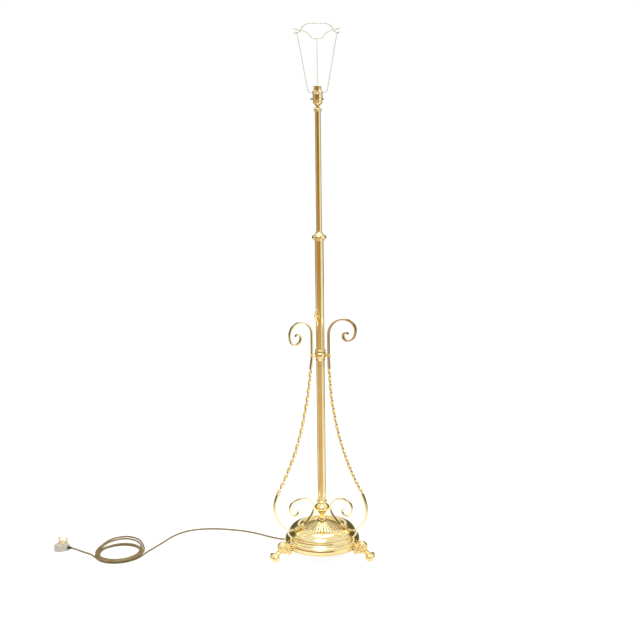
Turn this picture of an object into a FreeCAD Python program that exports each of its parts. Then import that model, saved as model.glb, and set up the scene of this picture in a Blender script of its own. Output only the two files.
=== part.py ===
import FreeCAD, Part
import math
import os
from FreeCAD import Placement, Rotation, Vector

# Telescopic brass standard lamp: a weighted spun dome on three cast feet, three twisted
# scroll arms, a fixed lower tube, a sliding upper tube, a bayonet lampholder and a wire
# shade carrier, with its flexible cord. Millimetres, +Z up, origin on the floor under
# the column.

os.makedirs("parts", exist_ok=True)

# ---------------------------------------------------------------- driving dimensions
# base
RIM_Z = 32.0                 # underside of the dome's rim above the floor
RIM_R = 131.0
DOME_WALL = 1.6
STEP_R = RIM_R - 14.0        # small step between the cushion and the cove
STEP_Z = 74.5
CUSHION_TOP_R = 82.0
CUSHION_TOP_Z = 97.6
TROUGH_R = 59.0              # ring groove at the ends of the flutes
CROWN_R = 19.0
CROWN_Z = 112.5
CROWN_WALL = 7.0
FLUTES = 30
FLUTE_FOOT_R = 60.5          # crest of the flutes at their outer ends
FLUTE_FOOT_Z = 85.5
FLUTE_DEPTH = 3.4
WEIGHT_R = RIM_R - 13.0
WEIGHT_THICK = 17.0
HUB_R = 22.0
NUT_POCKET_R = 22.5
NUT_POCKET_DEEP = 11.0
# feet
FOOT_ANGLES = {"left": 210.0, "right": 330.0, "back": 90.0}
LUG_THICK = 5.0
LUG_HALF_WIDE = 12.0
LUG_IN_R = RIM_R - 35.0
FOOT_SCREW_R = RIM_R - 23.0
FOOT_SCREW_D = 6.0
FOOT_SCREW_GRIP = 11.0       # thread length in the weight
LEAF_R = RIM_R + 1.6         # the leaf's back below the rim
LEAF_THICK = 4.6
LEAF_GAP = 0.3               # clearance between the leaf and the dome
KNEE_R = RIM_R + 25.0        # centre of the scrolled knee
KNEE_Z = 41.0
KNEE_ROLL = 21.4             # radius of the knee's roll
TOE_R = RIM_R + 57.0
TOE_ROLL = 15.5
TOE_SINK = 0.5               # flat ground off the toe's sole
BALL_R = 5.0
# column
NIPPLE_D = 16.0
NIPPLE_BORE = 11.0
NIPPLE_LOW = 31.0
KNOP_LOW = 143.5
KNOP_TOP = 184.0
KNOP_R = 26.0
SOCKET_DEEP = 18.0
OUTER_D = 28.6
OUTER_WALL = 1.2
OUTER_TOP = 1094.0
INNER_D = 19.0
INNER_WALL = 1.2
INNER_LOW = 560.0
INNER_TOP = 1499.0
RUN_GAP = 0.06               # radial running clearance of the sliding tube
BUSH_LONG = 30.0
COLLAR_LOW = 675.0           # middle collar
COLLAR_TOP = 713.5
COLLAR_MID = 695.0
COLLAR_R = 20.2
TOP_COLLAR_LOW = 1079.0
TOP_COLLAR_TOP = 1112.0
TOP_COLLAR_R = 23.4
# arms and scrolls
BAR_R = 32.0                 # radius of the bars where they pass the middle collar
BAR_WIDE = 12.7              # half-inch bar, three sixteenths thick
BAR_THICK = 4.7
STUD_D = 5.0
STUB_D = 10.0
NUT_BALL_R = 4.0
SCROLL_WIDE = 9.5
SCROLL_THICK = 4.0
BOLT_R = 79.0                # radius of the ball-headed bolts on the dome
BOLT_D = 5.0
HEAD_BALL_R = 4.4
BOLT_NUT_R = 5.0
BOLT_NUT_HIGH = 4.0
PAD_R = 6.5                  # flat pads under the dome for the bolts' nuts
NUT_SEAT_Z = 94.0
HALF_TWISTS = 16
# catch on the lower tube
CATCH_ANGLE = 222.0
CATCH_LOW = 806.0
CATCH_TOP = 852.0
PIVOT_R = 18.4
PIVOT_Z = 829.0
PIVOT_D = 2.4
PIN_GAP = 0.05
LEVER_WIDE = 8.0
EAR_THICK = 1.8
EAR_GAP = 0.3
# lampholder
KNOB_R = 13.0
KNOB_TOP = 1512.0
THREAD_D = 10.0
THREAD_BORE = 7.0
CAP_LOW = 1514.0
CAP_R = 16.0
CAP_TOP = 1553.0
CAP_WALL = 0.9
BARREL_R = 12.7
BARREL_BORE_R = 11.25
BLOCK_R = 10.8                # contact block inside the barrel
BARREL_TOP = 1580.0
FLANGE_TOP = 1556.0
SEAT_DEPTH = 13.5            # from the barrel's mouth to the tips of the contacts
CAP_STOP = BARREL_TOP - SEAT_DEPTH + 0.2    # ledge that the lamp cap's shell stops on
SLOT_ANGLE = 295.0
SLOT_WIDE = 2.6
BAR_Z = 1539.0
BAR_D = 3.8
BAR_LEFT = 24.0
BAR_RIGHT = 20.4
BAR_END_R = 2.4
HOLE_GAP = 0.3
PLUNGER_D = 3.2
PLUNGER_PITCH = 11.0
PLUNGER_OUT = 3.5
SHADE_RING_R = 18.5
SHADE_RING_HIGH = 4.0
# shade carrier
WIRE_D = 3.0
RING_R = 74.0
DIP_Z = 1741.5
HUMP_RISE = 22.0
FITTER_THICK = 3.0
FITTER_R = 17.0
STRUT_LOW_R = 35.0
# cord
CORD_D = 6.0
CLIP_Z = 12.0                # height of the cord's axis in its clip
CORD_ANGLE = 147.4
RELIEF_R = 5.5
RELIEF_TIP_R = 3.9
CLIP_IN = RIM_R - 45.0
RELIEF_IN = CLIP_IN - 2.0
RELIEF_OUT = RELIEF_IN + 28.0
CLIP_LONG = 10.0
CLIP_WALL = 1.6
COIL_X = -706.0
COIL_Y = -12.0
COIL_R = 86.0
COIL_PITCH = 7.2
COIL_TURNS = 5.35
COIL_START = -20.0           # degrees
LAYER = 7.0
LOOP_OUT = 76.0              # how far the last loose loop stands out at the back
LOOP_ANGLE = 97.0
PLUG_LONG = 46.0
PLUG_WIDE = 50.0
PLUG_HIGH = 23.0
ENTRY_Z = 11.0
# small fixings
WASHER = 1.6
NUT_HIGH = 7.0
NUT_FLATS = 24.0
WINDOW_WIDE = 6.0
SADDLE = 1.4
SHOE_GAP = 0.3
SPRING_THICK = 0.4
SPRING_WIDE = 4.0
CLIP_SCREW_R = 1.75
CLIP_SCREW_Y = 11.5
CLIP_GRIP = 8.0
PLUNGER_FLOOR = 1545.0
SPRING_LONG = 7.0
RING_LIFT = 0.0
KNURLS = 36
COIL_TURNS_IN = 2.5
PLUG_SLEEVE = 14.0
PLUG_LIFT = 0.0

UP = Vector(0, 0, 1)
CENTRE = Vector(0, 0, 0)
OUTER_R = OUTER_D / 2
OUTER_BORE_R = OUTER_R - OUTER_WALL
INNER_R = INNER_D / 2
INNER_BORE_R = INNER_R - INNER_WALL
NIPPLE_R = NIPPLE_D / 2
CORD_R = CORD_D / 2
WIRE_R = WIRE_D / 2


# ---------------------------------------------------------------- helpers
def export(name, *solids):
    shape = solids[0] if len(solids) == 1 else Part.makeCompound(list(solids))
    shape.exportStep("parts/" + name + ".step")


def turned(steps):
    """Solid of revolution about Z. A step is (r, z) for a line, or (r, z, r, z) for an arc."""
    edges = []
    here = Vector(steps[0][0], 0, steps[0][1])
    start = here
    for step in steps[1:] + [steps[0]]:
        there = Vector(step[-2], 0, step[-1])
        if len(step) == 4:
            edges.append(Part.Arc(here, Vector(step[0], 0, step[1]), there).toShape())
        elif (there - here).Length > 1e-7:
            edges.append(Part.LineSegment(here, there).toShape())
        here = there
    assert (here - start).Length < 1e-6
    return Part.Face(Part.Wire(edges)).revolve(CENTRE, UP, 360)


def rod(radius, low, high, x=0.0, y=0.0):
    return Part.makeCylinder(radius, high - low, Vector(x, y, low), UP)


def tube(outer, inner, low, high):
    return rod(outer, low, high).cut(rod(inner, low, high))


def bar_x(radius, start, end, y=0.0, z=0.0):
    return Part.makeCylinder(radius, end - start, Vector(start, y, z), Vector(1, 0, 0))


def bar_y(radius, start, end, x=0.0, z=0.0):
    return Part.makeCylinder(radius, end - start, Vector(x, start, z), Vector(0, 1, 0))


def box(x0, x1, y0, y1, z0, z1):
    return Part.makeBox(x1 - x0, y1 - y0, z1 - z0, Vector(x0, y0, z0))


def hexagon(across_flats, low, high, x=0.0, y=0.0):
    corner = across_flats / math.sqrt(3)
    points = [Vector(x + corner * math.cos(math.radians(60 * i)),
                     y + corner * math.sin(math.radians(60 * i)), low) for i in range(7)]
    return Part.Face(Part.makePolygon(points)).extrude(UP * (high - low))


def spun(shape, angle):
    """The shape, made along +X, turned to its place about the column."""
    placed = shape.copy()
    placed.rotate(CENTRE, UP, angle)
    return placed


def joined(shapes):
    whole = shapes[0].fuse(shapes[1:]) if len(shapes) > 1 else shapes[0]
    whole = whole.removeSplitter()
    solids = whole.Solids
    assert len(solids) == 1, "a piece came out as %d solids" % len(solids)
    return solids[0]


def tangent_arc(start, along, end):
    """Arc, or line, that leaves start in the direction along and ends at end."""
    chord = end - start
    straight = Vector(chord).normalize()
    side = along - straight * along.dot(straight)
    if side.Length < 1e-5:
        return Part.LineSegment(start, end).toShape()
    turn = math.atan2(side.Length, along.dot(straight))
    side.normalize()
    middle = (start + end) * 0.5 + side * (chord.Length / 2 * math.tan(turn / 2))
    return Part.Arc(start, middle, end).toShape()


def biarc(start, along, end, towards):
    """Two tangent arcs from start, leaving in direction along, to end, arriving towards."""
    v = end - start
    both = v.dot(along + towards)
    bend = 2 * (1 - along.dot(towards))
    if bend < 1e-7:
        reach = v.dot(v) / (2 * both)
    else:
        reach = (math.sqrt(both * both + bend * v.dot(v)) - both) / bend
    middle = (start + end + (along - towards) * reach) * 0.5
    if (middle - start).Length < 1e-6 or (end - middle).Length < 1e-6:
        return [tangent_arc(start, along, end)]
    chord = Vector(middle - start).normalize()
    passing = chord * (2 * along.dot(chord)) - along
    if abs(along.dot(chord)) > 1 - 1e-9 and towards.dot(chord) > 1 - 1e-9:
        return [Part.LineSegment(start, end).toShape()]
    return [tangent_arc(start, along, middle), tangent_arc(middle, passing, end)]


def smooth_path(stations):
    """Edges through (point, direction) stations, smooth all the way."""
    edges = []
    for (p, t), (q, u) in zip(stations, stations[1:]):
        edges += biarc(p, t, q, u)
    return edges


def swept(edges, profile):
    return Part.Wire(edges).makePipeShell([profile], True, False)


def ring_profile(radius, centre, normal):
    return Part.Wire([Part.Circle(centre, normal, radius).toShape()])


def strip_section(point, along, width, thick, twist=0.0):
    """Rectangle across a strip whose path lies in the XZ plane; twist turns it about the path."""
    across = Vector(0, 1, 0)
    out = along.cross(across)
    c = math.cos(twist)
    s = math.sin(twist)
    wide = (across * c + out * s) * (width / 2)
    deep = (out * c - across * s) * (thick / 2)
    corners = [point + wide + deep, point - wide + deep, point - wide - deep, point + wide - deep]
    return Part.makePolygon(corners + [corners[0]])


def flat(r, z, dr, dz):
    """Station in the XZ plane: a point and the unit direction of travel there."""
    return (Vector(r, 0, z), Vector(dr, 0, dz).normalize())


def quarters(r, z, sizes):
    """Stations of a scroll of quarter turns that starts upwards and curls outwards."""
    headings = [(1, 0), (0, -1), (-1, 0), (0, 1)]
    stations = [flat(r, z, 0, 1)]
    for i, (wide, high) in enumerate(sizes):
        turn = headings[i % 4]
        before = headings[(i - 1) % 4]
        r += turn[0] * wide + before[0] * wide
        z += turn[1] * high + before[1] * high
        stations.append(flat(r, z, *turn))
    return stations


def rounded_route(points, diameter, name):
    """Straight runs joined by tangent arcs, as one tube. Prints the arcs' radii."""
    points = [Vector(*p) for p in points]
    runs = [(b - a).Length for a, b in zip(points, points[1:])]
    edges = []
    radii = []
    here = points[0]
    for i in range(1, len(points) - 1):
        back = Vector(points[i - 1] - points[i]).normalize()
        ahead = Vector(points[i + 1] - points[i]).normalize()
        half = (math.pi - math.acos(max(-1.0, min(1.0, back.dot(ahead))))) / 2
        trim = 0.45 * min(runs[i - 1], runs[i])
        a = points[i] + back * trim
        b = points[i] + ahead * trim
        edges.append(Part.LineSegment(here, a).toShape())
        edges.append(tangent_arc(a, back * -1, b))
        radii.append(trim / math.tan(half))
        here = b
    edges.append(Part.LineSegment(here, points[-1]).toShape())
    path = Part.Wire(edges)
    first = Vector(points[1] - points[0]).normalize()
    solid = swept(edges, ring_profile(diameter / 2, points[0], first))
    expected = math.pi * diameter ** 2 / 4 * path.Length
    print(name, "length %.0f" % path.Length, "radii", [round(r) for r in radii],
          "volume ratio %.4f" % (solid.Volume / expected))
    return solid


# ---------------------------------------------------------------- base
def cushion_z(r, inset=0.0):
    """Height of the dome's cushion, the two arcs that meet at its top."""
    if r >= CUSHION_TOP_R:
        drop = CUSHION_TOP_Z - STEP_Z
        radius = ((STEP_R - CUSHION_TOP_R) ** 2 + drop ** 2) / (2 * drop)
    else:
        drop = CUSHION_TOP_Z - trough_z()
        radius = ((CUSHION_TOP_R - TROUGH_R) ** 2 + drop ** 2) / (2 * drop)
    centre = CUSHION_TOP_Z - radius
    return centre + math.sqrt((radius - inset) ** 2 - (r - CUSHION_TOP_R) ** 2)


def trough_z():
    return FLUTE_FOOT_Z + 3.1


def dome_outside(grown=0.0):
    """The dome without its flutes and solid all through, with its radii grown if asked."""
    g = grown
    rim = RIM_R + g
    step_out = STEP_R + 1.0 + g
    half_out = (STEP_R + CUSHION_TOP_R) / 2
    half_in = (TROUGH_R + CUSHION_TOP_R) / 2
    return turned([
        (0, RIM_Z), (rim - 1.2, RIM_Z), (rim - 0.3, RIM_Z + 1.6, rim - 0.6, RIM_Z + 3.6),
        (rim + 1.0, RIM_Z + 12, rim - 2.2, RIM_Z + 21.5),
        (rim - 4.4, RIM_Z + 24.6, rim - 7.0, RIM_Z + 26.0),
        (rim - 7.4, RIM_Z + 28.2), (step_out + 1.2, RIM_Z + 33.0, step_out, STEP_Z - 1.8),
        (STEP_R + g, STEP_Z),
        (half_out + g, cushion_z(half_out), CUSHION_TOP_R + g, CUSHION_TOP_Z),
        (half_in + g, cushion_z(half_in), TROUGH_R + g, trough_z()),
        (TROUGH_R - 4.0 + g, FLUTE_FOOT_Z + 1.0), (CROWN_R - 1.0, CROWN_Z - 3.0),
        (CROWN_R - 1.0, CROWN_Z), (0, CROWN_Z)])


def base_dome():
    step_out = STEP_R + 1.0
    half_out = (STEP_R + CUSHION_TOP_R) / 2
    half_in = (TROUGH_R + CUSHION_TOP_R) / 2
    outer = joined([dome_outside(), flutes()])
    w = DOME_WALL
    inner = turned([
        (0, RIM_Z - 1), (RIM_R - 1.2 - w, RIM_Z - 1), (RIM_R - 1.2 - w, RIM_Z + 3.6),
        (RIM_R + 1.0 - w, RIM_Z + 12, RIM_R - 2.2 - w, RIM_Z + 21.0),
        (RIM_R - 7.0 - w, RIM_Z + 26.0 - w), (step_out - w, STEP_Z - 4.0),
        (half_out, cushion_z(half_out, w), CUSHION_TOP_R, CUSHION_TOP_Z - w),
        (half_in, cushion_z(half_in, w), TROUGH_R, trough_z() - w - 1.0),
        (TROUGH_R - 3.0, trough_z() - 5.0),
        (HUB_R + 2.0, CROWN_Z - CROWN_WALL), (0, CROWN_Z - CROWN_WALL)])
    for angle in FOOT_ANGLES.values():
        inner = inner.cut(spun(rod(PAD_R, NUT_SEAT_Z, CUSHION_TOP_Z, BOLT_R), angle))
    shell = outer.cut(inner).cut(rod(NIPPLE_R, CROWN_Z - CROWN_WALL - 1, CROWN_Z + 1))
    for angle in FOOT_ANGLES.values():
        shell = shell.cut(spun(rod(BOLT_D / 2, CUSHION_TOP_Z - 12, CUSHION_TOP_Z + 5, BOLT_R), angle))
    return shell.Solids[0]


def flutes():
    """Sunburst of rounded lobes between the crown and the ring groove."""
    def star(crest, depth, z):
        arcs = []
        step = 2 * math.pi / FLUTES
        for i in range(FLUTES):
            def at(radius, share):
                turn = (i + share) * step
                return Vector(radius * math.cos(turn), radius * math.sin(turn), z)
            arcs.append(Part.Arc(at(crest - depth, 0), at(crest, 0.5), at(crest - depth, 1)).toShape())
        return Part.Wire(arcs)
    top_crest = CROWN_R + 1.6
    low = star(FLUTE_FOOT_R, FLUTE_DEPTH, FLUTE_FOOT_Z)
    high = star(top_crest, FLUTE_DEPTH * top_crest / FLUTE_FOOT_R, CROWN_Z)
    return Part.makeLoft([low, high], True, True)


def base_weight():
    top = RIM_Z + WEIGHT_THICK
    ceiling = RIM_Z + NUT_POCKET_DEEP
    hub_top = CROWN_Z - CROWN_WALL
    body = turned([
        (NIPPLE_R, ceiling), (NUT_POCKET_R, ceiling), (NUT_POCKET_R, RIM_Z), (WEIGHT_R, RIM_Z),
        (WEIGHT_R, top - 5), (WEIGHT_R - 1.5, top - 1.5, WEIGHT_R - 5, top),
        (HUB_R + 14, top), (HUB_R + 4, top + 4, HUB_R, top + 14), (HUB_R, hub_top),
        (NIPPLE_R, hub_top)])
    for angle in FOOT_ANGLES.values():
        body = body.cut(spun(rod(FOOT_SCREW_D / 2, RIM_Z, RIM_Z + FOOT_SCREW_GRIP, FOOT_SCREW_R), angle))
    for side in (-1, 1):
        hole = rod(CLIP_SCREW_R, RIM_Z, RIM_Z + CLIP_GRIP, CLIP_IN + CLIP_LONG / 2, side * CLIP_SCREW_Y)
        body = body.cut(spun(hole, CORD_ANGLE))
    return body.Solids[0]


# ---------------------------------------------------------------- feet
def roll(steps, r, z):
    """A turned roll that lies across the foot with its middle at r and z."""
    body = turned(steps)
    body.Placement = Placement(Vector(r, 0, z), Rotation(Vector(1, 0, 0), 90))
    return body


def mirrored(steps):
    """Half an outline up to its widest point, followed by its mirror image."""
    corners = [step[-2:] for step in steps]
    back = []
    for i in range(len(steps) - 1, 0, -1):
        middle = (steps[i][0], -steps[i][1]) if len(steps[i]) == 4 else ()
        back.append(middle + (corners[i - 1][0], -corners[i - 1][1]))
    return steps + back


def foot():
    """One cast foot along +X: lug under the rim, scrolled knee, waist and oval toe."""
    rim = KNEE_ROLL
    knee = roll(mirrored([(0, -15.5), (1.5, -15.5), (4.3, -14.2, 5.2, -11.5), (8.5, -11.5),
                          (rim - 7.9, -14.6, rim - 2.9, -11.5), (rim - 0.4, -6.5, rim, 0)]),
                KNEE_R, KNEE_Z)
    toe_z = TOE_ROLL - TOE_SINK
    toe = roll([(0, -22), (3, -22), (9.6, -18.8, TOE_ROLL - 3.0, -13), (TOE_ROLL, 0, TOE_ROLL - 3.0, 13),
                (9.6, 18.8, 3, 22), (0, 22)], TOE_R, toe_z)
    start = Vector(KNEE_R, 0, KNEE_Z)
    run = Vector(TOE_R, 0, toe_z) - start
    waist = Rotation(Vector(0, 0, 1), run)
    wires = []
    for share, wide, thick in ((0.0, 12.0, 12.0), (0.55, 10.5, 8.5), (1.0, 13.0, 11.0)):
        wire = Part.Wire([Part.Ellipse(Vector(0, wide, 0), Vector(thick, 0, 0), CENTRE).toShape()])
        wire.Placement = Placement(start + run * share, waist)
        wires.append(wire)
    limb = Part.makeLoft(wires, True, False)
    lug = box(LUG_IN_R, LEAF_R + LEAF_THICK, -LUG_HALF_WIDE, LUG_HALF_WIDE, RIM_Z - LUG_THICK, RIM_Z)
    lug = lug.cut(rod(FOOT_SCREW_D / 2, 0, RIM_Z + 1, FOOT_SCREW_R))
    ball = Part.makeSphere(BALL_R, Vector(RIM_R - 8.5, 0, RIM_Z + 34.5))
    ball = ball.cut(dome_outside(LEAF_GAP))
    whole = joined([knee, toe, limb, leaf(), lug, ball])
    return whole.cut(box(LUG_IN_R, TOE_R + 40, -40, 40, -20, 0)).Solids[0]


def leaf():
    """Lobed leaf behind the knee, which hugs the rim and laps over it into the cove."""
    lobes = [(0, 54.0, 11.0), (12.5, 50.0, 9.0), (15.5, 37.5, 9.0), (13.0, 24.5, 8.0),
             (5.5, 18.5, 6.0)]
    far = LEAF_R + 30
    blank = [bar_x(radius, 0, far, side * y, z) for y, z, radius in lobes for side in (-1, 1)
             if y > 0 or side > 0]
    blank.append(box(0, far, -15, 15, 22, 56))
    face = LEAF_R + LEAF_THICK
    sheet = turned([
        (LEAF_R, 8), (face, 8), (face, RIM_Z + 14), (RIM_R + 3.5, RIM_Z + 24, RIM_R - 1.5, RIM_Z + 30.5),
        (RIM_R - 6, RIM_Z + 36), (STEP_R + 2, RIM_Z + 36), (STEP_R + 2, RIM_Z), (LEAF_R, RIM_Z)])
    sheet = sheet.cut(dome_outside(LEAF_GAP))
    return max(joined(blank).common(sheet).Solids, key=lambda solid: solid.Volume)


def foot_screws():
    low = RIM_Z - LUG_THICK
    grip = FOOT_SCREW_GRIP - 1.0
    head = rod(5.0, low - 3.6, low, FOOT_SCREW_R).cut(
        box(FOOT_SCREW_R - 9, FOOT_SCREW_R + 9, -0.6, 0.6, low - 5, low - 2.4))
    screw = joined([head, rod(FOOT_SCREW_D / 2, low, RIM_Z + grip, FOOT_SCREW_R)])
    return [spun(screw, angle) for angle in FOOT_ANGLES.values()]


# ---------------------------------------------------------------- column
def stem_nipple():
    return tube(NIPPLE_R, NIPPLE_BORE / 2, NIPPLE_LOW, KNOP_TOP - SOCKET_DEEP)


def lock_washer():
    ceiling = RIM_Z + NUT_POCKET_DEEP
    return tube(NIPPLE_R + 10, NIPPLE_R, ceiling - WASHER, ceiling)


def lock_nut():
    top = RIM_Z + NUT_POCKET_DEEP - WASHER
    return hexagon(NUT_FLATS, top - NUT_HIGH, top).cut(rod(NIPPLE_R, 0, 100))


def neck():
    return turned([
        (NIPPLE_R, CROWN_Z), (14.6, CROWN_Z), (15.6, CROWN_Z + 1.8, 14.6, CROWN_Z + 3.6),
        (12.0, CROWN_Z + 4.6), (10.9, CROWN_Z + 12, 12.6, CROWN_Z + 22),
        (13.4, CROWN_Z + 26.5, 15.6, KNOP_LOW - 1.4), (15.6, KNOP_LOW), (NIPPLE_R, KNOP_LOW)])


def knop():
    top = KNOP_TOP
    return turned([
        (NIPPLE_R, KNOP_LOW), (17.0, KNOP_LOW), (18.4, KNOP_LOW + 2.0), (19.4, KNOP_LOW + 2.6),
        (KNOP_R, KNOP_LOW + 12.5, 19.6, top - 15.5), (17.4, top - 14.4),
        (16.6, top - 12.8), (15.4, top - 10.0, 17.2, top - 6.0), (18.7, top - 5.0),
        (18.7, top - 1.6), (17.6, top), (OUTER_R, top), (OUTER_R, top - SOCKET_DEEP),
        (NIPPLE_R, top - SOCKET_DEEP)])


def outer_tube():
    body = tube(OUTER_R, OUTER_BORE_R, KNOP_TOP - SOCKET_DEEP, OUTER_TOP)
    window = box(OUTER_BORE_R - 3, OUTER_R + 3, -WINDOW_WIDE / 2, WINDOW_WIDE / 2,
                 PIVOT_Z - 14, PIVOT_Z + 1)
    return body.cut(spun(window, CATCH_ANGLE)).Solids[0]


def mid_collar():
    low = COLLAR_LOW
    mid = COLLAR_MID
    top = COLLAR_TOP
    body = turned([
        (OUTER_R, low), (15.8, low), (16.4, low + 1.9, 15.6, low + 3.8), (14.9, low + 5.0),
        (18.4, mid - 6.8), (COLLAR_R, mid, 17.0, mid + 8.4), (15.7, mid + 10.2),
        (18.6, mid + 12.4), (18.9, mid + 14.2, 18.3, mid + 16.0), (16.2, top), (OUTER_R, top)])
    face = BAR_R - BAR_THICK / 2
    pieces = [body]
    for angle in FOOT_ANGLES.values():
        stub = bar_x(STUB_D / 2, COLLAR_R - 3, face, 0, mid).fuse(
            bar_x(STUD_D / 2, face, face + BAR_THICK + NUT_BALL_R + 1.5, 0, mid))
        pieces.append(spun(stub, angle))
    whole = joined(pieces)
    return whole


def arm_nuts():
    face = BAR_R + BAR_THICK / 2
    centre = face + NUT_BALL_R - 0.8
    ball = Part.makeSphere(NUT_BALL_R, Vector(centre, 0, COLLAR_MID))
    ball = ball.cut(box(0, face, -9, 9, COLLAR_MID - 9, COLLAR_MID + 9))
    stud_end = BAR_R - BAR_THICK / 2 + BAR_THICK + NUT_BALL_R + 1.5
    ball = ball.cut(bar_x(STUD_D / 2, 0, stud_end, 0, COLLAR_MID))
    return [spun(ball, angle) for angle in FOOT_ANGLES.values()]


def top_collar():
    low = TOP_COLLAR_LOW
    top = TOP_COLLAR_TOP
    r = TOP_COLLAR_R
    return turned([
        (OUTER_R, low), (15.4, low), (16.0, low + 1.2, 15.6, low + 2.4),
        (17.4, low + 5.6, 20.4, low + 6.4), (22.6, low + 7.4), (r, low + 9.0),
        (r + 0.4, low + 12.6, r - 0.4, low + 16.4), (r - 2.2, low + 19.0), (18.0, low + 19.9),
        (12.2, low + 25.0, INNER_R + 1.6, top - 0.9), (INNER_R + HOLE_GAP, top),
        (INNER_R + HOLE_GAP, OUTER_TOP), (OUTER_R, OUTER_TOP)])


def guide_bush():
    return tube(OUTER_BORE_R, INNER_R + RUN_GAP, OUTER_TOP - BUSH_LONG, OUTER_TOP)


def inner_tube():
    return tube(INNER_R, INNER_BORE_R, INNER_LOW, INNER_TOP)


def inner_bush():
    """Slide and end stop fixed on the lower end of the sliding tube."""
    low = INNER_LOW - 4
    body = turned([
        (INNER_BORE_R - 2, low), (OUTER_BORE_R - RUN_GAP - 1, low), (OUTER_BORE_R - RUN_GAP, low + 1),
        (OUTER_BORE_R - RUN_GAP, low + BUSH_LONG), (INNER_R, low + BUSH_LONG),
        (INNER_R, INNER_LOW), (INNER_BORE_R - 2, INNER_LOW)])
    return body


# ---------------------------------------------------------------- arms and scrolls
SCROLL_TOPS = {
    "left": [(42.5, 42.5), (41.5, 41.0), (19.0, 33.0), (23.0, 22.0), (12.0, 12.0), (7.0, 6.0)],
    "right": [(60.0, 56.0), (42.5, 35.0), (30.0, 36.0), (17.0, 14.0), (9.0, 13.0), (9.0, 5.0)]}
SCROLL_START = {"left": 768.0, "right": 765.0}
SWEEPS = {
    "left": [(38.0, 650, 0.10, -1), (54.0, 545, 0.18, -1), (87.0, 411, 0.32, -1),
             (144.0, 281, 0.54, -1), (172.0, 232, 0.50, -1), (184.0, 190, 0, -1),
             (149.0, 113, -0.7, -0.7), (114.0, 97, -1, 0)],
    "right": [(33.5, 650, 0.08, -1), (43.0, 543, 0.16, -1), (74.0, 407, 0.31, -1),
              (130.0, 276, 0.55, -1), (158.5, 229, 0.50, -1), (174.0, 172, 0, -1),
              (140.0, 107, -0.75, -0.66), (109.0, 93.5, -1, 0)]}
C_SCROLLS = {
    "left": [(43.5, 44.5), (49.0, 29.0), (18.0, 27.0), (15.0, 12.0), (6.0, 7.0)],
    "right": [(45.0, 43.0), (39.0, 30.0), (20.0, 29.0), (19.0, 16.0), (9.0, 8.0)]}
HAND = {"left": "left", "right": "right", "back": "left"}
C_LEG_R = 33.5
C_LEG_Z = 158.0


def strip(edges, width, thick, start, along):
    return swept(edges, strip_section(start, along, width, thick))


def walk(edges, distance):
    """Point and direction at a distance along the edges."""
    for edge in edges:
        if distance <= edge.Length + 1e-6:
            at = edge.getParameterByLength(min(distance, edge.Length))
            return edge.valueAt(at), edge.tangentAt(at).normalize()
        distance -= edge.Length
    last = edges[-1]
    return last.valueAt(last.LastParameter), last.tangentAt(last.LastParameter).normalize()


def twisted(edges, width, thick):
    """Flat bar twisted through whole half turns between its plain ends."""
    length = sum(edge.Length for edge in edges)
    steps = HALF_TWISTS * 4
    wires = []
    for i in range(steps + 1):
        point, along = walk(edges, length * i / steps)
        wires.append(strip_section(point, along, width, thick, math.pi * HALF_TWISTS * i / steps))
    return Part.makeLoft(wires, True, True)


def arm_pad_z():
    return CUSHION_TOP_Z + SCROLL_THICK + BAR_THICK / 2


def side_arm(which):
    hand = HAND[which]
    start = flat(BAR_R, COLLAR_MID, 0, -1)
    sweep = [flat(*s) for s in SWEEPS[hand]]
    pad = [flat(BOLT_R + 9, arm_pad_z(), -1, 0), flat(BOLT_R - 5, arm_pad_z(), -1, 0)]
    plain_top = smooth_path([start, sweep[0]])
    bent = smooth_path(sweep[:5])
    plain_low = smooth_path(sweep[4:] + pad)
    scroll = smooth_path([flat(BAR_R, COLLAR_MID, 0, 1)] +
                         quarters(BAR_R, SCROLL_START[hand], SCROLL_TOPS[hand]))
    shape = [
        strip(scroll, BAR_WIDE, BAR_THICK, Vector(BAR_R, 0, COLLAR_MID), UP),
        strip(plain_top, BAR_WIDE, BAR_THICK, *start),
        twisted(bent, BAR_WIDE, BAR_THICK),
        strip(plain_low, BAR_WIDE, BAR_THICK, *sweep[4]),
        eye(arm_pad_z(), BAR_THICK, BAR_WIDE)]
    whole = joined(shape)
    whole = whole.cut(bar_x(STUD_D / 2, 0, BAR_R + 9, 0, COLLAR_MID))
    return whole.cut(rod(BOLT_D / 2, 80, 120, BOLT_R)).Solids[0]


def eye(z, thick, wide):
    """Round end of a strip under a bolt head."""
    return rod(wide / 2 + 0.5, z - thick / 2, z + thick / 2, BOLT_R)


def c_scroll(which):
    z = CUSHION_TOP_Z + SCROLL_THICK / 2
    first = flat(BOLT_R + 5, z, -1, 0)
    leg = [first, flat(BOLT_R - 7.5, z, -1, 0), flat(BOLT_R - 16, CUSHION_TOP_Z + 14.4, -0.62, 0.78),
           flat(C_LEG_R + 11.5, C_LEG_Z - 25, -0.66, 0.75)]
    path = smooth_path(leg + quarters(C_LEG_R, C_LEG_Z, C_SCROLLS[HAND[which]]))
    whole = joined([strip(path, SCROLL_WIDE, SCROLL_THICK, *first), eye(z, SCROLL_THICK, SCROLL_WIDE)])
    return whole.cut(rod(BOLT_D / 2, 80, 120, BOLT_R)).Solids[0]


def dome_bolts():
    seat = CUSHION_TOP_Z + SCROLL_THICK + BAR_THICK
    low = NUT_SEAT_Z - BOLT_NUT_HIGH - 1.5
    bolt = joined([
        rod(BOLT_D / 2, low, seat + 1, BOLT_R), rod(BOLT_D / 2 + 0.9, seat, seat + 1.2, BOLT_R),
        Part.makeSphere(HEAD_BALL_R, Vector(BOLT_R, 0, seat + HEAD_BALL_R - 0.4)).cut(
            box(0, 200, -9, 9, 0, seat))])
    return [spun(bolt, angle) for angle in FOOT_ANGLES.values()]


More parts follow.
